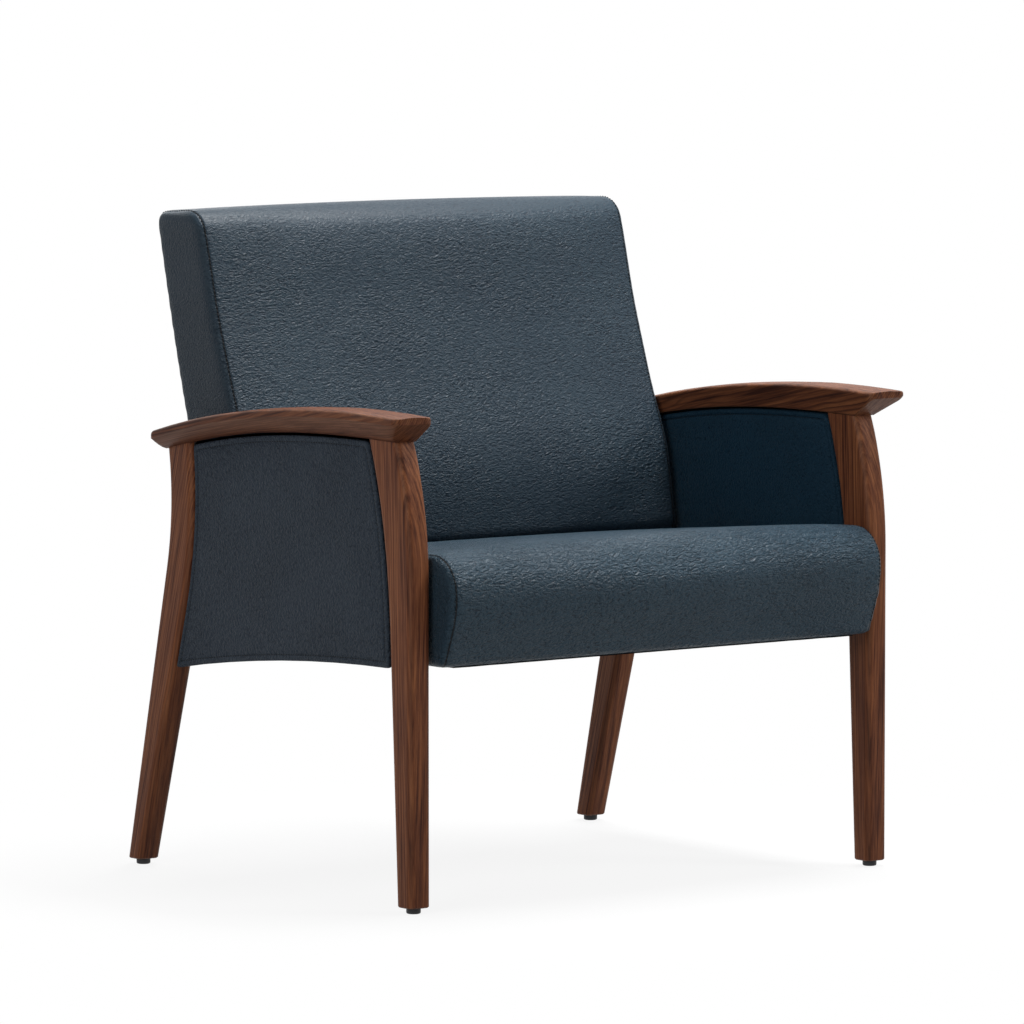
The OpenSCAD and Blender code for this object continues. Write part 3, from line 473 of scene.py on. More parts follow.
class Finish:
    """A material and short calls to add nodes to it."""

    def __init__(self, name, roughness, metallic=0.0, specular=0.5):
        self.material = bpy.data.materials.new(name)
        self.material.use_nodes = True
        self.tree = self.material.node_tree
        self.shader = self.tree.nodes["Principled BSDF"]
        self.shader.inputs["Roughness"].default_value = roughness
        self.shader.inputs["Metallic"].default_value = metallic
        self.shader.inputs["Specular IOR Level"].default_value = specular
        self.place = self.add("ShaderNodeTexCoord").outputs["Object"]

    def add(self, kind, **values):
        made = self.tree.nodes.new(kind)
        for name, value in values.items():
            setattr(made, name, value)
        return made

    def join(self, a, b):
        self.tree.links.new(a, b)

    def along(self, direction):
        """How far each place is in a direction, in metres."""
        made = self.add("ShaderNodeVectorMath", operation="DOT_PRODUCT")
        self.join(self.place, made.inputs[0])
        made.inputs[1].default_value = direction
        return made.outputs["Value"]

    def mapped(self, scale, shift=(0, 0, 0), place=None):
        mapping = self.add("ShaderNodeMapping")
        mapping.inputs["Scale"].default_value = scale
        mapping.inputs["Location"].default_value = shift
        self.join(place or self.place, mapping.inputs["Vector"])
        return mapping.outputs["Vector"]

    def noise(self, vector, detail, rough=0.5, distortion=0.0):
        made = self.add("ShaderNodeTexNoise")
        made.inputs["Scale"].default_value = 1.0
        made.inputs["Detail"].default_value = detail
        made.inputs["Roughness"].default_value = rough
        made.inputs["Distortion"].default_value = distortion
        self.join(vector, made.inputs["Vector"])
        return made.outputs["Fac"]

    def cells(self, vector, scale=1.0, feature="F1"):
        made = self.add("ShaderNodeTexVoronoi", feature=feature)
        made.inputs["Scale"].default_value = scale
        self.join(vector, made.inputs["Vector"])
        return made.outputs["Distance"]

    def bands(self, scale, direction):
        """Even bands across a direction."""
        made = self.add("ShaderNodeTexWave", bands_direction=direction)
        made.inputs["Scale"].default_value = scale
        self.join(self.place, made.inputs["Vector"])
        return made.outputs["Fac"]

    def math(self, operation, a, b=None):
        made = self.add("ShaderNodeMath", operation=operation)
        for socket, value in zip(made.inputs, (a, b)):
            if value is None:
                continue
            if isinstance(value, (int, float)):
                socket.default_value = value
            else:
                self.join(value, socket)
        return made.outputs[0]

    def spread(self, value, low, high, to_low=0.0, to_high=1.0):
        made = self.add("ShaderNodeMapRange")
        set_range(made, low, high, to_low, to_high)
        self.join(value, made.inputs["Value"])
        return made.outputs["Result"]

    def colours(self, value, stops):
        """Colour ramp through (position, colour) stops."""
        made = self.add("ShaderNodeValToRGB")
        elements = made.color_ramp.elements
        while len(elements) < len(stops):
            elements.new(0.5)
        for element, (position, colour) in zip(elements, stops):
            element.position = position
            element.color = rgb(colour)
        self.join(value, made.inputs["Fac"])
        return made.outputs["Color"]

    def blend(self, share, a, b):
        made = self.add("ShaderNodeMix", data_type="RGBA")
        for socket, value in ((made.inputs["Factor"], share), (made.inputs[6], a), (made.inputs[7], b)):
            if isinstance(value, (int, float, tuple)):
                socket.default_value = value
            else:
                self.join(value, socket)
        return made.outputs[2]

    def colour(self, value):
        self.join(value, self.shader.inputs["Base Color"])

    def rough(self, value):
        self.join(value, self.shader.inputs["Roughness"])

    def bump(self, height, distance, strength=1.0):
        """Adds a bump of that height in metres over any bump already there."""
        made = self.add("ShaderNodeBump")
        made.inputs["Distance"].default_value = distance
        made.inputs["Strength"].default_value = strength
        self.join(height, made.inputs["Height"])
        socket = self.shader.inputs["Normal"]
        if socket.is_linked:
            self.join(socket.links[0].from_socket, made.inputs["Normal"])
        self.join(made.outputs["Normal"], socket)


FOLD_SHARE = 1.9
CREASE_SHARE = 0.3
PEBBLE_SHARE = 0.14
SEAM_DEPTH = 1.4 * MM
SEAM_REACH = 3 * MM
# How far from a seam its dark line starts to fade, and where it ends
SEAM_LINE = (0.7 * MM, 1.5 * MM)
SEAM_DARK = 0.94
# How far in from a cushion's side its vinyl starts to turn plain, and where it is plain
PLAIN_SIDE = (1.8 * MM, 0.2 * MM)
PLAIN_SHARE = 0.85
CALM_BAND = 12 * MM
CALM_SHARE = 0.25


def vinyl(name, tones, fold, grain, depth, roughness, gloss, seam_in=None, calm_above=None):
    """Embossed vinyl: folds of a hide with fine grain over them, coloured with painted shade in the fold
    valleys and a painted highlight on the ridges.

    tones are (shade, middle, light). fold is the length and height of a fold, grain the size of a
    pebble and depth that of the relief, in metres. seam_in is how far in from a cushion's side its
    seam runs. Above calm_above the vinyl is pulled smooth over the top edge.
    """
    shade, middle, light = tones
    f = Finish(name, roughness=roughness, specular=gloss)
    long, high = fold
    split = f.add("ShaderNodeSeparateXYZ")
    f.join(f.place, split.inputs[0])
    from_middle = f.math("ABSOLUTE", split.outputs["X"])
    warp = f.noise(f.mapped((1 / (2.5 * long), 1 / (2.5 * high), 1 / (2.5 * high))), detail=1)
    at = f.add("ShaderNodeVectorMath", operation="ADD")
    f.join(f.mapped((1 / long, 1 / high, 1 / high)), at.inputs[0])
    f.join(f.spread(warp, 0, 1, -0.8, 0.8), at.inputs[1])
    folds = f.noise(at.outputs[0], detail=2, rough=0.5, distortion=0.5)
    creases = f.spread(f.cells(at.outputs[0], scale=0.8, feature="DISTANCE_TO_EDGE"), 0, 0.22)
    pebbles = f.cells(f.mapped((1 / grain, 1 / grain, 1 / grain)))
    fine = f.math("ADD", f.math("MULTIPLY", creases, CREASE_SHARE),
                  f.math("MULTIPLY", pebbles, PEBBLE_SHARE))
    relief = f.math("ADD", f.math("MULTIPLY", folds, FOLD_SHARE), fine)
    # Painted shade and painted highlight: the colour goes from the shade tone in the fold valleys to the
    # light tone on the ridges
    tone = f.colours(relief, [(0.7, shade), (0.95, middle), (1.0, light)])
    patches = f.noise(f.mapped((6, 6, 6)), detail=3)
    tone = f.blend(f.spread(patches, 0.35, 0.65, 0.2, 0.5), tone, rgb(middle))
    f.rough(f.spread(relief, 0.8, 1.7, roughness + 0.09, roughness - 0.06))
    uneven = f.noise(f.mapped((7, 11, 11), shift=(1, 2, 3)), detail=1)
    relief = f.math("MULTIPLY", relief, f.spread(uneven, 0.36, 0.62, 0.75, 1.25))
    if calm_above:
        calm = f.spread(split.outputs["Z"], calm_above, calm_above + CALM_BAND, 1, CALM_SHARE)
        relief = f.math("MULTIPLY", relief, calm)
    f.bump(relief, depth)
    if seam_in:
        side = f.spread(from_middle, *(CUSHION_HALF - inset for inset in PLAIN_SIDE))
        tone = f.blend(f.math("MULTIPLY", side, PLAIN_SHARE), tone, rgb(middle))
        from_seam = f.math("ABSOLUTE", f.math("SUBTRACT", from_middle, CUSHION_HALF - seam_in))
        tone = f.blend(f.spread(from_seam, *SEAM_LINE, SEAM_DARK, 0.0), tone, rgb(THREAD))
        f.bump(f.math("POWER", f.spread(from_seam, 0, SEAM_REACH), 0.5), SEAM_DEPTH)
    f.colour(tone)
    return f.material


FINE_LAYER_SHARE = 0.38


def wood(name, tones, grain, across, shift, spacing, contrast, wander):
    """Stained walnut with fibres along grain and growth layers stacked towards across.

    tones go from dark to light, and shift moves the figure. The layers are spacing apart, drift by
    up to wander along the piece and are darker by contrast.
    """
    f = Finish(name, roughness=0.5, specular=0.16)
    dark, middle, warm, light = tones
    along = Vector(grain).normalized()
    stacked = (Vector(across) - along * along.dot(Vector(across))).normalized()
    board = f.add("ShaderNodeCombineXYZ")
    for socket, direction in zip(board.inputs, (along.cross(stacked), stacked, along)):
        f.join(f.along(direction), socket)
    place = f.mapped((1, 1, 1), shift=shift, place=board.outputs[0])
    split = f.add("ShaderNodeSeparateXYZ")
    f.join(place, split.inputs[0])
    drift = f.noise(f.mapped((11, 11, 3.4), place=place), detail=3)
    bent = f.math("ADD", split.outputs["Y"], f.spread(drift, 0, 1, 0, wander))
    ring = f.math("FRACT", f.math("DIVIDE", bent, spacing))
    second = f.math("FRACT", f.math("DIVIDE", bent, spacing * FINE_LAYER_SHARE))
    fibres = f.noise(f.mapped((620, 620, 16), place=place), detail=3, rough=0.6)
    streaks = f.noise(f.mapped((110, 400, 6), place=place), detail=3, rough=0.6)
    pores = f.noise(f.mapped((1100, 1100, 45), place=place), detail=2, rough=0.7)
    cloud = f.noise(f.mapped((24, 40, 5), place=place), detail=2)
    mottle = f.math("ADD", f.math("MULTIPLY", streaks, 0.6),
                    f.math("ADD", f.math("MULTIPLY", fibres, 0.2), f.math("MULTIPLY", cloud, 0.2)))
    tone = f.colours(mottle, [(0.38, dark), (0.46, middle), (0.53, warm), (0.63, light)])
    late = f.colours(ring, [(0.0, "#101010"), (0.5, "#303030"), (0.9, "#ffffff"), (1.0, "#303030")])
    depth = f.math("MULTIPLY", late, f.spread(cloud, 0.35, 0.65, 0.3 * contrast, contrast))
    tone = f.blend(depth, tone, rgb(dark))
    tone = f.blend(f.spread(second, 0.55, 1.0, 0.0, 0.16), tone, rgb(dark))
    tone = f.blend(f.spread(pores, 0.55, 0.7, 0.0, 0.4), tone, rgb(WOOD_PORE))
    # Rounded edges are lightened, more where the cloud is: edge wear, and a painted highlight where light
    # catches the round
    geometry = f.add("ShaderNodeNewGeometry")
    corner = f.add("ShaderNodeVectorMath", operation="MULTIPLY")
    f.join(geometry.outputs["Normal"], corner.inputs[0])
    f.join(geometry.outputs["Normal"], corner.inputs[1])
    squared = f.add("ShaderNodeVectorMath", operation="DOT_PRODUCT")
    f.join(corner.outputs[0], squared.inputs[0])
    f.join(corner.outputs[0], squared.inputs[1])
    edge_wear_and_sheen = f.spread(f.math("SUBTRACT", 1.0, squared.outputs["Value"]), 0.3, 0.52, 0.0, 0.3)
    edge_wear_and_sheen = f.math("MULTIPLY", edge_wear_and_sheen, f.spread(cloud, 0.3, 0.7, 0.3, 1.0))
    f.colour(f.blend(edge_wear_and_sheen, tone, rgb(WOOD_EDGE_WEAR_AND_SHEEN)))
    f.rough(f.spread(streaks, 0.3, 0.7, 0.58, 0.42))
    f.bump(f.math("ADD", fibres, f.math("MULTIPLY", pores, 0.6)), distance=0.3 * MM, strength=0.5)
    return f.material


def raw_wood(name, colour, dark):
    f = Finish(name, roughness=0.75)
    lines = f.noise(f.mapped((12, 160, 160)), detail=3, distortion=0.3)
    f.colour(f.colours(lines, [(0.35, dark), (0.65, colour)]))
    f.bump(lines, distance=0.3 * MM, strength=0.4)
    return f.material


def plywood(name):
    f = Finish(name, roughness=0.7)
    plies = f.bands(110, "Z")
    face = f.noise(f.mapped((9, 140, 140)), detail=3)
    veneer = f.colours(face, [(0.3, "#a98a5c"), (0.7, "#cfb285")])
    f.colour(f.blend(f.spread(plies, 0.4, 0.6, 0, 0.3), veneer, rgb("#8d6f47")))
    f.bump(face, distance=0.3 * MM, strength=0.4)
    return f.material


def foam(name):
    f = Finish(name, roughness=0.95, specular=0.2)
    pores = f.cells(f.mapped((700, 700, 700)))
    f.colour(f.colours(pores, [(0.1, "#b49f66"), (0.5, "#dccb92")]))
    f.bump(pores, distance=0.4 * MM)
    return f.material


def zinc(name):
    f = Finish(name, roughness=0.38, metallic=1.0)
    spangle = f.noise(f.mapped((120, 120, 120)), detail=4)
    f.colour(f.colours(spangle, [(0.3, "#7d8186"), (0.7, "#a9adb1")]))
    f.rough(f.spread(spangle, 0.3, 0.7, 0.3, 0.46))
    f.bump(spangle, distance=0.05 * MM)
    return f.material


def powder_coat(name):
    f = Finish(name, roughness=0.5, specular=0.4)
    skin = f.noise(f.mapped((900, 900, 900)), detail=2)
    f.colour(f.colours(skin, [(0.3, "#131315"), (0.7, "#222225")]))
    f.rough(f.spread(skin, 0.3, 0.7, 0.42, 0.56))
    f.bump(skin, distance=0.12 * MM)
    return f.material


def nylon(name):
    f = Finish(name, roughness=0.55, specular=0.4)
    skin = f.noise(f.mapped((500, 500, 500)), detail=3)
    scuffs = f.noise(f.mapped((60, 60, 400)), detail=4)
    moulded = f.colours(skin, [(0.3, "#111113"), (0.7, "#1d1d20")])
    f.colour(f.blend(f.spread(scuffs, 0.55, 0.75, 0, 0.4), moulded, rgb("#34343a")))
    f.bump(skin, distance=0.08 * MM)
    return f.material


def weave(name, dark, light, pitch):
    f = Finish(name, roughness=0.9, specular=0.15)
    warp = f.bands(0.5 / pitch, "X")
    weft = f.bands(0.5 / pitch, "Y")
    cloth = f.math("MULTIPLY", warp, weft)
    fuzz = f.noise(f.mapped((300, 300, 300)), detail=4)
    height = f.math("ADD", cloth, f.math("MULTIPLY", fuzz, 0.5))
    f.colour(f.colours(height, [(0.2, dark), (0.9, light)]))
    f.bump(height, distance=0.3 * MM)
    return f.material


def thread(name):
    f = Finish(name, roughness=0.6, specular=0.3)
    twist = f.bands(900, "DIAGONAL")
    f.colour(f.colours(twist, [(0.2, "#070b10"), (0.8, THREAD)]))
    f.bump(twist, distance=0.1 * MM)
    return f.material


MATERIALS = {
    "vinyl_back": vinyl("vinyl_back", BACK_TONES, fold=(6 * MM, 2.8 * MM), grain=1.3 * MM, depth=1.4 * MM,
                        roughness=0.38, gloss=0.14, seam_in=BACK_SEAM_IN, calm_above=BACK_CALM_H),
    "vinyl_seat": vinyl("vinyl_seat", SEAT_TONES_PAINTED_LIGHTER, fold=(7 * MM, 3.4 * MM), grain=1.3 * MM, depth=2.5 * MM,
                        roughness=0.33, gloss=0.15, seam_in=SEAT_SEAM_IN),
    "vinyl_rear": vinyl("vinyl_rear", BACK_TONES, fold=(5 * MM, 3.2 * MM), grain=1.5 * MM, depth=1.6 * MM,
                        roughness=0.46, gloss=0.21),
    "vinyl_side": vinyl("vinyl_side", SIDE_TONES, fold=(5.5 * MM, 4.2 * MM), grain=1.3 * MM, depth=2.2 * MM,
                        roughness=0.54, gloss=0.15),
    "vinyl_inner": vinyl("vinyl_inner", INNER_TONES, fold=(4.6 * MM, 3.0 * MM), grain=1.4 * MM,
                         depth=1.4 * MM, roughness=0.5, gloss=0.08),
    "leg_front": wood("leg_front", LEG_TONES, grain=(0, 0.03, 1), across=(0.6, 0.8, 0),
                      shift=(0.1, 0.05, 0), spacing=4 * MM, contrast=0.55, wander=14 * MM),
    "leg_rear": wood("leg_rear", LEG_TONES, grain=(0, 0.26, -0.97), across=(0.25, -0.93, -0.25),
                     shift=(0.3, 0.2, 0.1), spacing=4 * MM, contrast=0.6, wander=20 * MM),
    "arm": wood("arm", ARM_TONES, grain=(0, -0.98, 0.19), across=(-0.85, 0.1, 0.49),
                shift=(0.1, 0.5, 0.2), spacing=3.4 * MM, contrast=0.9, wander=30 * MM),
    "hardwood": raw_wood("hardwood", colour="#b08a5a", dark="#8e6b42"),
    "plywood": plywood("plywood"),
    # Near-black wood for the panel boards and side rails: painted shade in the gaps where they show
    "painted_shade_board": raw_wood("painted_shade_board", colour="#15120f", dark="#0c0a09"),
    "foam": foam("foam"),
    "zinc": zinc("zinc"),
    "powder_coat": powder_coat("powder_coat"),
    "nylon": nylon("nylon"),
    "webbing": weave("webbing", dark="#0d0d0f", light="#2a2a2e", pitch=1.6 * MM),
    "dust_cloth": weave("dust_cloth", dark="#0c0c0d", light="#242426", pitch=0.9 * MM),
    "thread": thread("thread"),
}


def dress(obj, material):
    obj.data.materials.clear()
    obj.data.materials.append(MATERIALS[material])


def finish_piece(obj, material, slot, *nodes):
    """Material and body of a piece made here, and the nodes that it stands for. slot is not used."""
    dress(obj, material)
    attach(obj, ROOT)
    if nodes:
        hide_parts(*nodes)


# CUSHIONS

GUIDE_OFF = 20 * MM
SEAT_HUB_Y = -200 * MM
SEAT_HUB_H = 380 * MM
SEAT_STITCH_FOOT = 12 * MM
SEAT_STITCH_REAR = 60 * MM
BACK_STITCH_FOOT = 25 * MM
BACK_STITCH_TOP = 60 * MM
# How far in from the rear a cover is tacked down, and over what length that ends, there and at the foot
SEAT_TACKED = (90 * MM, 50 * MM, 30 * MM)
BACK_TACKED = (45 * MM, 30 * MM, 25 * MM)


def side_roll(low_z, foot_r, rise):
    """Share of the edge radius that a cushion's sides are rolled by: most in front, least below."""
    def roll(p, d):
        front = (FRONT_ROLL - 1) * max(0, -d.x) * ease((p.y - low_z - foot_r) / rise)
        return (1 + front) * mix(1, FOOT_ROLL, ease(-2 * d.y))
    return roll


def tacked_share(co, half, edge_r, low_z, rear_y, tacked):
    """1 at the sides, the foot and the rear of a cushion, where its cover is tacked down."""
    rear_reach, rear_fade, foot_fade = tacked
    at_side = np.clip((np.abs(co[:, 0]) - (half - 3 * edge_r)) / (2 * edge_r), 0, 1)
    below = np.clip((low_z + TACKED_FOOT - co[:, 2]) / foot_fade, 0, 1)
    behind = np.clip((co[:, 1] - rear_y + rear_reach) / rear_fade, 0, 1)
    return np.maximum(np.maximum(at_side, below), behind)


def topstitch_sides(prefix, cushion_obj, shown, seam_x):
    """A row of stitches at both sides, over the points (p, direction) of the section that show."""
    for side, sign in SIDES.items():
        guide = [Vector((sign * seam_x, p.x + d.x * GUIDE_OFF, p.y + d.y * GUIDE_OFF)) for p, d in shown]
        inward = [Vector((0, -d.x, -d.y)) for _, d in shown]
        finish_piece(stitch_on(prefix + side, cushion_obj, guide, inward), "thread", "vinyl_seat")


def make_seat():
    low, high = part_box("seat_cover")
    low.z -= SEAT_TURN_UNDER
    half = high.x
    section = seat_section(low, high)
    crown = SEAT_CROWN - SWELL * SWELL_SHARE
    roll = side_roll(low.z, NOSE_FOOT_R, SEAT_PUFF_RISE)
    seat = cushion("seat_cushion", section, half, SEAT_EDGE_R, crown, roll)

    swell_cloth(seat, lambda co: tacked_share(co, half, SEAT_EDGE_R, low.z, high.y, SEAT_TACKED))
    finish_piece(seat, "vinyl_seat", "vinyl_seat", "seat_cover")
    points = section[0]
    dirs = outward(points)
    shown = [(p, d) for p, d in zip(points, dirs)
             if p.y > low.z + SEAT_STITCH_FOOT and p.x < high.y - SEAT_STITCH_REAR]
    shown.sort(key=lambda pair: math.atan2(pair[0].y - SEAT_HUB_H, pair[0].x - SEAT_HUB_Y))
    topstitch_sides("seat_topstitch_", seat, shown, half - SEAT_SEAM_IN)


def make_back():
    low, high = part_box("back_cover")
    seat_low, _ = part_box("seat_cover")
    half = high.x
    section = back_section(seat_low.y)

    def onto_seat(x, p):
        low_here = 1 - ease((p.y - low.z) / BACK_SINK_RISE)
        return low_here * (SEAT_CROWN * (x / half) ** 2 + BACK_SINK)

    crown = BACK_CROWN - SWELL * SWELL_SHARE
    roll = side_roll(low.z, BACK_FOOT_R, BACK_PUFF_RISE)
    back = cushion("back_cushion", section, half, BACK_EDGE_R, crown, roll, onto_seat)

    def tacked(co):
        rear_line = low.y + BACK_FOOT_T + (co[:, 2] - low.z) * tan(BACK_RAKE)
        return tacked_share(co, half, BACK_EDGE_R, low.z, rear_line, BACK_TACKED)

    swell_cloth(back, tacked)
    finish_piece(back, "vinyl_back", "vinyl_seat", "back_cover")
    points = section[0]
    dirs = outward(points)
    shown = [(p, d) for p, d in zip(points, dirs)
             if (d.x < -0.2 and p.y > low.z + BACK_STITCH_FOOT)
             or (d.y > 0.5 and p.y > high.z - BACK_STITCH_TOP)]
    shown.sort(key=lambda pair: pair[0].y + pair[0].x)
    topstitch_sides("back_topstitch_", back, shown, half - BACK_SEAM_IN)


def rear_face(z, rear_y, low_rear):
    """Place of the back's rear face at a height."""
    rise = ramp((z - low_rear) / (BACK_TOP_H - low_rear))
    return rear_y + (z - low_rear) * tan(BACK_RAKE) + BACK_BOW * math.sin(math.pi * rise)


# Profile from the edge inwards: (inset, how far proud) in mm
REAR_EDGE = [(0, -4.0), (0, -0.6), (0.5, 0.6), (1.6, 1.5), (3.4, 2.0), (6.5, 2.1), (8.0, 1.3), (9.5, 2.0)]
REAR_SEAM_RING = 6
REAR_STEP = 5 * MM
REAR_FIELD_STEP = 14 * MM
REAR_CORNER_R = 14 * MM


def make_outside_back():
    """Upholstered outside back: a panel with a rolled, topstitched edge on the rear of the back."""
    low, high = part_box("outer_back_panel")
    seat_low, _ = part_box("seat_cover")
    _, (rear_y, low_rear) = back_foot(seat_low.y)
    corners = [(low.x, low.z), (high.x, low.z), (high.x, high.z), (low.x, high.z)]
    outline = fill_in(round_corners([(x, z, REAR_CORNER_R) for x, z in corners]), REAR_STEP)
    dirs = outward(outline)
    bm = bmesh.new()

    def at(p, proud):
        return bm.verts.new((p.x, rear_face(p.y, rear_y, low_rear) + proud * MM, p.y))

    rings = [[at(p - d * inset * MM, proud) for p, d in zip(outline, dirs)] for inset, proud in REAR_EDGE]
    for inner, outer in zip(rings, rings[1:]):
        for i in range(len(inner)):
            bm.faces.new((inner[i], inner[i - 1], outer[i - 1], outer[i]))
    rim = [Vector((v.co.x, v.co.z)) for v in rings[-1]]
    field = field_points(rim, REAR_FIELD_STEP)
    edges = [(i, (i + 1) % len(rim)) for i in range(len(rim))]
    placed, _, triangles, origins, _, _ = delaunay_2d_cdt(rim + [p for p, _ in field], edges, [], 1, 1e-7)
    verts = [rings[-1][origin[0]] if origin and origin[0] < len(rim) else at(p, REAR_EDGE[-1][1])
             for p, origin in zip(placed, origins)]
    for triangle in triangles:
        bm.faces.new([verts[i] for i in triangle])
    bm.faces.new(rings[0])
    seam = [v.co.copy() for v in rings[REAR_SEAM_RING]]
    seam.append(seam[0])
    panel = new_object("outside_back", bm)
    finish_piece(panel, "vinyl_rear", "vinyl_seat", "outer_back_panel")
    normal = Vector((0, math.cos(math.radians(BACK_RAKE)), -math.sin(math.radians(BACK_RAKE))))
    finish_piece(stitches("outside_back_topstitch", seam, [normal] * len(seam)), "thread", "vinyl_seat")


DUST_MARGIN = 14 * MM
DUST_LAP = 2 * MM
DUST_THICKNESS = 0.5 * MM
DUST_SAG = 5 * MM
DUST_RIPPLE = 0.35 * MM
DUST_RIPPLES = 19
DUST_GRID = (60, 48)


def make_dust_cloth():
    """Black cloth stapled under the seat frame, with a little sag between the rails."""
    low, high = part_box("seat_dust_cover")
    west, east = low.x - DUST_MARGIN, high.x + DUST_MARGIN
    south, north = low.y - DUST_LAP, high.y - DUST_THICKNESS
    top = high.z - SEAT_TURN_UNDER
    across, deep = DUST_GRID
    bm = bmesh.new()
    layers = []
    for drop in (0, DUST_THICKNESS):
        grid = []
        for j in range(deep + 1):
            row = []
            for i in range(across + 1):
                u, v = 2 * i / across - 1, 2 * j / deep - 1
                ripple = DUST_RIPPLE * math.sin(DUST_RIPPLES * u * v) * (u * v) ** 2
                z = top - drop - DUST_SAG * (1 - u * u) * (1 - v * v) - abs(ripple)
                row.append(bm.verts.new((mix(west, east, i / across), mix(south, north, j / deep), z)))
            grid.append(row)
        layers.append(grid)
    upper, lower = layers
    for j in range(deep):
        for i in range(across):
            for grid in layers:
                bm.faces.new((grid[j][i], grid[j][i + 1], grid[j + 1][i + 1], grid[j + 1][i]))
    for i in range(across):
        for j in (0, deep):
            bm.faces.new((upper[j][i], upper[j][i + 1], lower[j][i + 1], lower[j][i]))
    for j in range(deep):
        for i in (0, across):
            bm.faces.new((upper[j][i], upper[j + 1][i], lower[j + 1][i], lower[j][i]))
    cloth = new_object("dust_cloth", bm)
    finish_piece(cloth, "dust_cloth", "dust_cloth", "seat_dust_cover")


# SIDE PANELS

def outline_of(node, x):
    """The outline that a CAD node has in the plane at x, (y, z), counter-clockwise."""
    found = {(round(v.co.y, 5), round(v.co.z, 5))
             for v in NODES[node].data.vertices if abs(v.co.x - x) < 1e-5}
    centre = Vector((sum(p[0] for p in found), sum(p[1] for p in found))) / len(found)
    return sorted((Vector(p) for p in found), key=lambda p: math.atan2(p.y - centre.y, p.x - centre.x))


def soften(points, rounds):
    """Evens out the kinks of a dense outline and rounds its corners a little."""
    for _ in range(rounds):
        n = len(points)
        points = [points[i] * 0.5 + (points[i - 1] + points[(i + 1) % n]) * 0.25 for i in range(n)]
    return points


# Profiles from the edge inwards: (inset in mm, share of the panel's thickness)
PANEL_EDGE = [(0.0, 0.0), (0.0, 0.45), (0.35, 0.75), (1.3, 0.92), (3.2, 1.0), (6.2, 1.0)]
PANEL_SEAM = [(7.0, 0.9), (8.2, 0.74), (9.4, 0.9), (11.0, 1.0)]
PANEL_SEAM_RING = -3
PANEL_FILL = 0.86
PANEL_WRAP = 2.45 * MM
PANEL_SHORT = 1.3 * MM
PANEL_STEP = 4 * MM
PANEL_FIELD_STEP = 7 * MM
PANEL_CROWN = 2.0 * MM
PANEL_CROWN_REACH = 55 * MM
PANEL_EVENING = 12
PANEL_SOFTENING = 4


def off_foot(d):
    """0 where a panel's edge faces down, at its foot, and 1 round the rest."""
    return ease((d.y + 0.6) * 3)


def make_panel(name, node, flat_x, face_x, slot, wrap_x=None):
    """Padded panel: rolled edge, topstitched groove inside it and a slight crown between.

    Up to wrap_x its cover is folded over the top and the ends of the board behind it. A panel
    without such a fold stops a little short of them.
    """
    outline = soften(fill_in(outline_of(node, flat_x), PANEL_STEP), PANEL_SOFTENING)
    dirs = outward(outline)
    if wrap_x is None:
        outline = [p - d * PANEL_SHORT * off_foot(d) for p, d in zip(outline, dirs)]
    t = (face_x - flat_x) * PANEL_FILL
    bm = bmesh.new()
    rings = []
    if wrap_x is not None:
        folded = [p + d * PANEL_WRAP * off_foot(d) for p, d in zip(outline, dirs)]
        rings = [[bm.verts.new((x, p.x, p.y)) for p in folded] for x in (wrap_x, flat_x)]
    for inset, share in PANEL_EDGE + PANEL_SEAM:
        line = soften([p - d * inset * MM for p, d in zip(outline, dirs)], int(inset))
        rings.append([bm.verts.new((flat_x + t * share, p.x, p.y)) for p in line])
    for low, high in zip(rings, rings[1:]):
        for i in range(len(low)):
            bm.faces.new((low[i], low[i - 1], high[i - 1], high[i]))
    bm.faces.new(rings[0])
    rim = [v.co.yz for v in rings[-1]]
    field = field_points(rim, PANEL_FIELD_STEP)
    edges = [(i, (i + 1) % len(rim)) for i in range(len(rim))]
    placed, _, triangles, origins, _, _ = delaunay_2d_cdt(rim + [p for p, _ in field], edges, [], 1, 1e-7)
    verts, inner = [], []
    for p, origin in zip(placed, origins):
        if origin and origin[0] < len(rim):
            verts.append(rings[-1][origin[0]])
            continue
        gap = field[origin[0] - len(rim)][1] if origin else 0
        x = flat_x + t + math.copysign(PANEL_CROWN * ease(gap / PANEL_CROWN_REACH), t)
        inner.append(bm.verts.new((x, p.x, p.y)))
        verts.append(inner[-1])
    for triangle in triangles:
        bm.faces.new([verts[i] for i in triangle])
    for _ in range(PANEL_EVENING):
        bmesh.ops.smooth_vert(bm, verts=inner, factor=0.5,
                              use_axis_x=True, use_axis_y=False, use_axis_z=False)
    path = [v.co.copy() for v in rings[PANEL_SEAM_RING]]
    path.append(path[0])
    panel = new_object(name, bm)
    finish_piece(panel, slot, slot, node)
    normal = Vector((math.copysign(1, t), 0, 0))
    finish_piece(stitches(name + "_topstitch", path, [normal] * len(path)), "thread", slot)


def make_panels():
    for side, sign in SIDES.items():
        low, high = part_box("panel_outer_" + side)
        flat, face = (high.x, low.x) if sign < 0 else (low.x, high.x)
        make_panel("outer_panel_" + side, "panel_outer_" + side, flat, face, "vinyl_side")
        low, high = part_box("panel_inner_" + side)
        flat, face = (low.x, high.x) if sign < 0 else (high.x, low.x)
        board_low, board_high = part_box("panel_board_" + side)
        wrap_x = board_low.x if sign < 0 else board_high.x
        make_panel("inner_panel_" + side, "panel_inner_" + side, flat, face, "vinyl_inner", wrap_x)


# CARRIED-OVER NODES

SLOT_MATERIALS = {
    "vinyl_seat": "vinyl_seat", "vinyl_side": "vinyl_side", "vinyl_inner": "vinyl_inner",
    "frame_hardwood": "hardwood", "plywood": "plywood", "foam": "foam", "webbing": "webbing",
    "dust_cloth": "dust_cloth", "black_steel": "powder_coat", "zinc_steel": "zinc", "black_nylon": "nylon",
}
CREASE_ANGLE = 32
WELD_REACH = 0.01 * MM


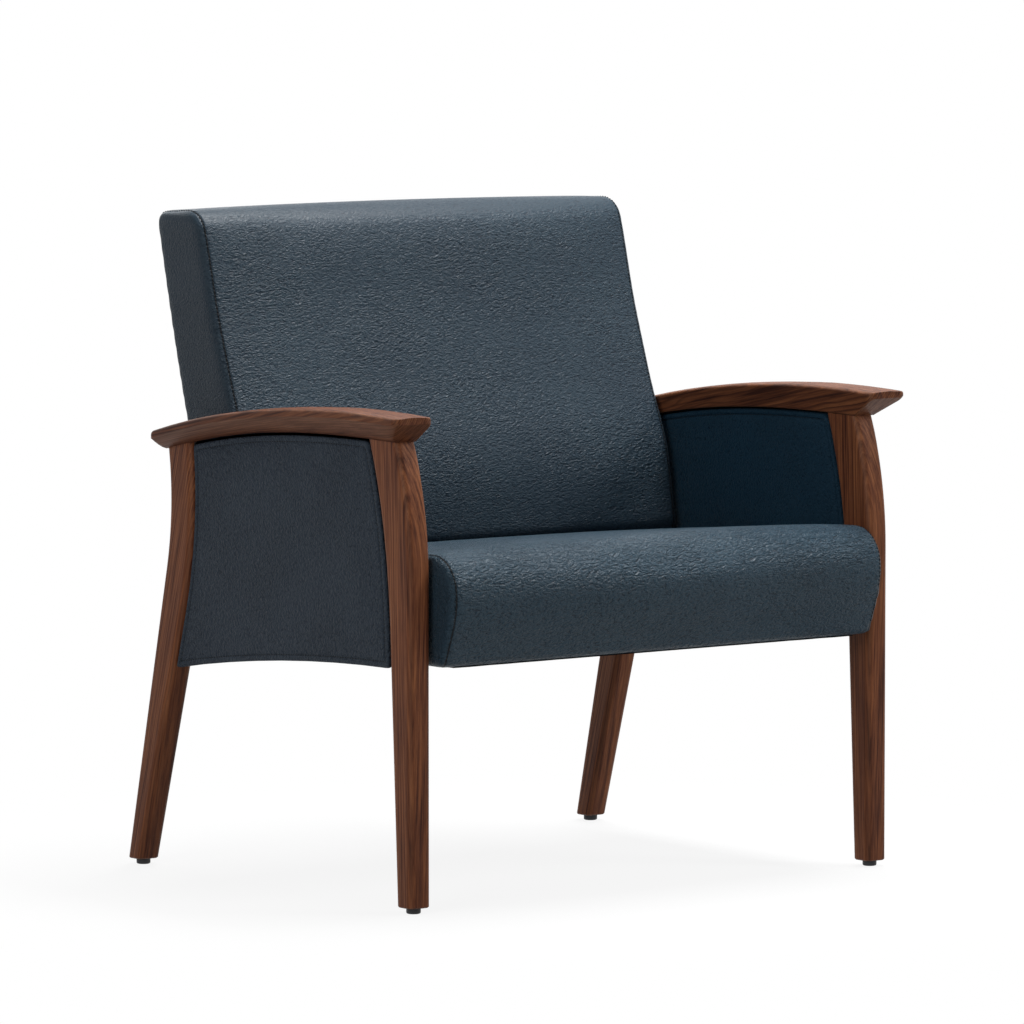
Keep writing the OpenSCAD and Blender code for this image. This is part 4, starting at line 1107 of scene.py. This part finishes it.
def shade_smooth(obj):
    """Smooth shading with hard edges at sharp corners; the vertices stay as they are."""
    mesh = obj.data
    mesh.polygons.foreach_set("use_smooth", [True] * len(mesh.polygons))
    if mesh.has_custom_normals:
        mesh.normals_split_custom_set([(0, 0, 0)] * len(mesh.loops))
    weld = obj.modifiers.new("weld", "WELD")
    weld.merge_threshold = WELD_REACH
    split = obj.modifiers.new("edges", "EDGE_SPLIT")
    split.split_angle = math.radians(CREASE_ANGLE)
    obj.modifiers.new("even_shading", "WEIGHTED_NORMAL")


def dress_nodes():
    slots = {part["node"]: part["material_slot"] for part in frame["record"]["subparts"]}
    for node, obj in NODES.items():
        if node.startswith("front_leg"):
            dress(obj, "leg_front")
        elif node.startswith("rear_leg"):
            dress(obj, "leg_rear")
        elif node.startswith("arm_") and node != "arm_dowels":
            dress(obj, "arm")
        # Panel boards and side rails are near black: painted shade in the gaps round the panels, arms and
        # legs
        elif node.startswith("panel_board") or node.startswith("side_rail"):
            dress(obj, "painted_shade_board")
        else:
            dress(obj, SLOT_MATERIALS[slots[node]])
        shade_smooth(obj)


# STAGE, LIGHT AND CAMERA

WHITE = (1, 1, 1, 1)
FLOOR_REACH = 60
FLOOR_PALE = (0.3, 0.3, 0.3, 1)
FLOOR_SHADED = (0.95, 0.95, 0.95, 1)
# The shadow fades out between two distances from the chair, from one share of white to another
FLOOR_FADE = (0.35, 1.0, 0.87, 1.0)
WORLD_COLOUR = (0.95, 0.97, 1.0, 1)
WORLD_STRENGTH = 0.19
LAMP_TARGET = (0, 0, 0.5)
LAMPS = [
    # name, place, width, height, watts
    ("overhead", (0.9, 0.05, 3.3), 1.7, 0.9, 116),
    ("key_left", (-3.6, -1.6, 2.0), 1.8, 2.2, 42),
    ("sheen_right", (2.7, -2.8, 2.9), 1.0, 1.0, 49),
    ("rear", (0.6, 3.6, 2.6), 2.6, 1.6, 26),
]


def make_camera():
    data = bpy.data.cameras.new("camera")
    data.lens = CAMERA_LENS
    data.sensor_width = 36
    data.clip_end = 200
    camera = bpy.data.objects.new("camera", data)
    camera.location = CAMERA_AT
    camera.rotation_euler = (math.radians(90 - CAMERA_TILT), 0, math.radians(-CAMERA_YAW))
    bpy.context.scene.collection.objects.link(camera)
    bpy.context.scene.camera = camera


def plain(tree, kind, colour, strength=1.0):
    """Output of a shader of one colour."""
    made = tree.nodes.new(kind)
    made.inputs["Color"].default_value = colour
    if "Strength" in made.inputs:
        made.inputs["Strength"].default_value = strength
    return made.outputs[0]


def mixed(tree, share, a, b):
    """Output of a shader that goes from a to b with share."""
    made = tree.nodes.new("ShaderNodeMixShader")
    for socket, source in zip(made.inputs, (share, a, b)):
        tree.links.new(source, socket)
    return made.outputs[0]


def make_floor():
    """Pale floor: the camera sees it white but for the object's shadow."""
    bm = bmesh.new()
    corners = ((-1, -1), (1, -1), (1, 1), (-1, 1))
    bm.faces.new([bm.verts.new((x * FLOOR_REACH, y * FLOOR_REACH, 0)) for x, y in corners])
    floor = new_object("floor", bm)
    material = bpy.data.materials.new("floor")
    material.use_nodes = True
    tree = material.node_tree
    tree.nodes.clear()
    output = tree.nodes.new("ShaderNodeOutputMaterial")
    pale = plain(tree, "ShaderNodeBsdfDiffuse", FLOOR_PALE)
    shaded = plain(tree, "ShaderNodeBsdfDiffuse", FLOOR_SHADED)
    white = plain(tree, "ShaderNodeEmission", WHITE)
    place = tree.nodes.new("ShaderNodeTexCoord")
    away = tree.nodes.new("ShaderNodeVectorMath")
    away.operation = "LENGTH"
    tree.links.new(place.outputs["Object"], away.inputs[0])
    fade = tree.nodes.new("ShaderNodeMapRange")
    fade.interpolation_type = "SMOOTHSTEP"
    set_range(fade, *FLOOR_FADE)
    tree.links.new(away.outputs["Value"], fade.inputs["Value"])
    faded = mixed(tree, fade.outputs["Result"], shaded, white)
    tree.links.new(mixed(tree, white_for_rays(tree), pale, faded), output.inputs["Surface"])
    floor.data.materials.append(material)


def white_for_rays(tree):
    """1 for rays that show the background: from the camera, in a reflection or through glass."""
    path = tree.nodes.new("ShaderNodeLightPath")
    shown = path.outputs["Is Camera Ray"]
    for kind in ("Is Glossy Ray", "Is Transmission Ray"):
        most = tree.nodes.new("ShaderNodeMath")
        most.operation = "MAXIMUM"
        tree.links.new(shown, most.inputs[0])
        tree.links.new(path.outputs[kind], most.inputs[1])
        shown = most.outputs[0]
    return shown


def make_world():
    world = bpy.data.worlds.new("studio")
    bpy.context.scene.world = world
    world.use_nodes = True
    tree = world.node_tree
    tree.nodes.clear()
    output = tree.nodes.new("ShaderNodeOutputWorld")
    soft = plain(tree, "ShaderNodeBackground", WORLD_COLOUR, WORLD_STRENGTH)
    white = plain(tree, "ShaderNodeBackground", WHITE)
    tree.links.new(mixed(tree, white_for_rays(tree), soft, white), output.inputs["Surface"])


def make_lamps():
    for name, place, width, height, watts in LAMPS:
        data = bpy.data.lights.new(name, "AREA")
        data.shape = "RECTANGLE"
        data.size = width
        data.size_y = height
        data.energy = watts
        lamp = bpy.data.objects.new(name, data)
        lamp.location = place
        aim = Vector(LAMP_TARGET) - Vector(place)
        lamp.rotation_euler = aim.to_track_quat("-Z", "Y").to_euler()
        bpy.context.scene.collection.objects.link(lamp)


make_camera()
make_world()
make_lamps()
make_floor()
bpy.context.scene.view_settings.view_transform = "Standard"
dress_nodes()
make_seat()
make_back()
make_outside_back()
make_dust_cloth()
make_panels()
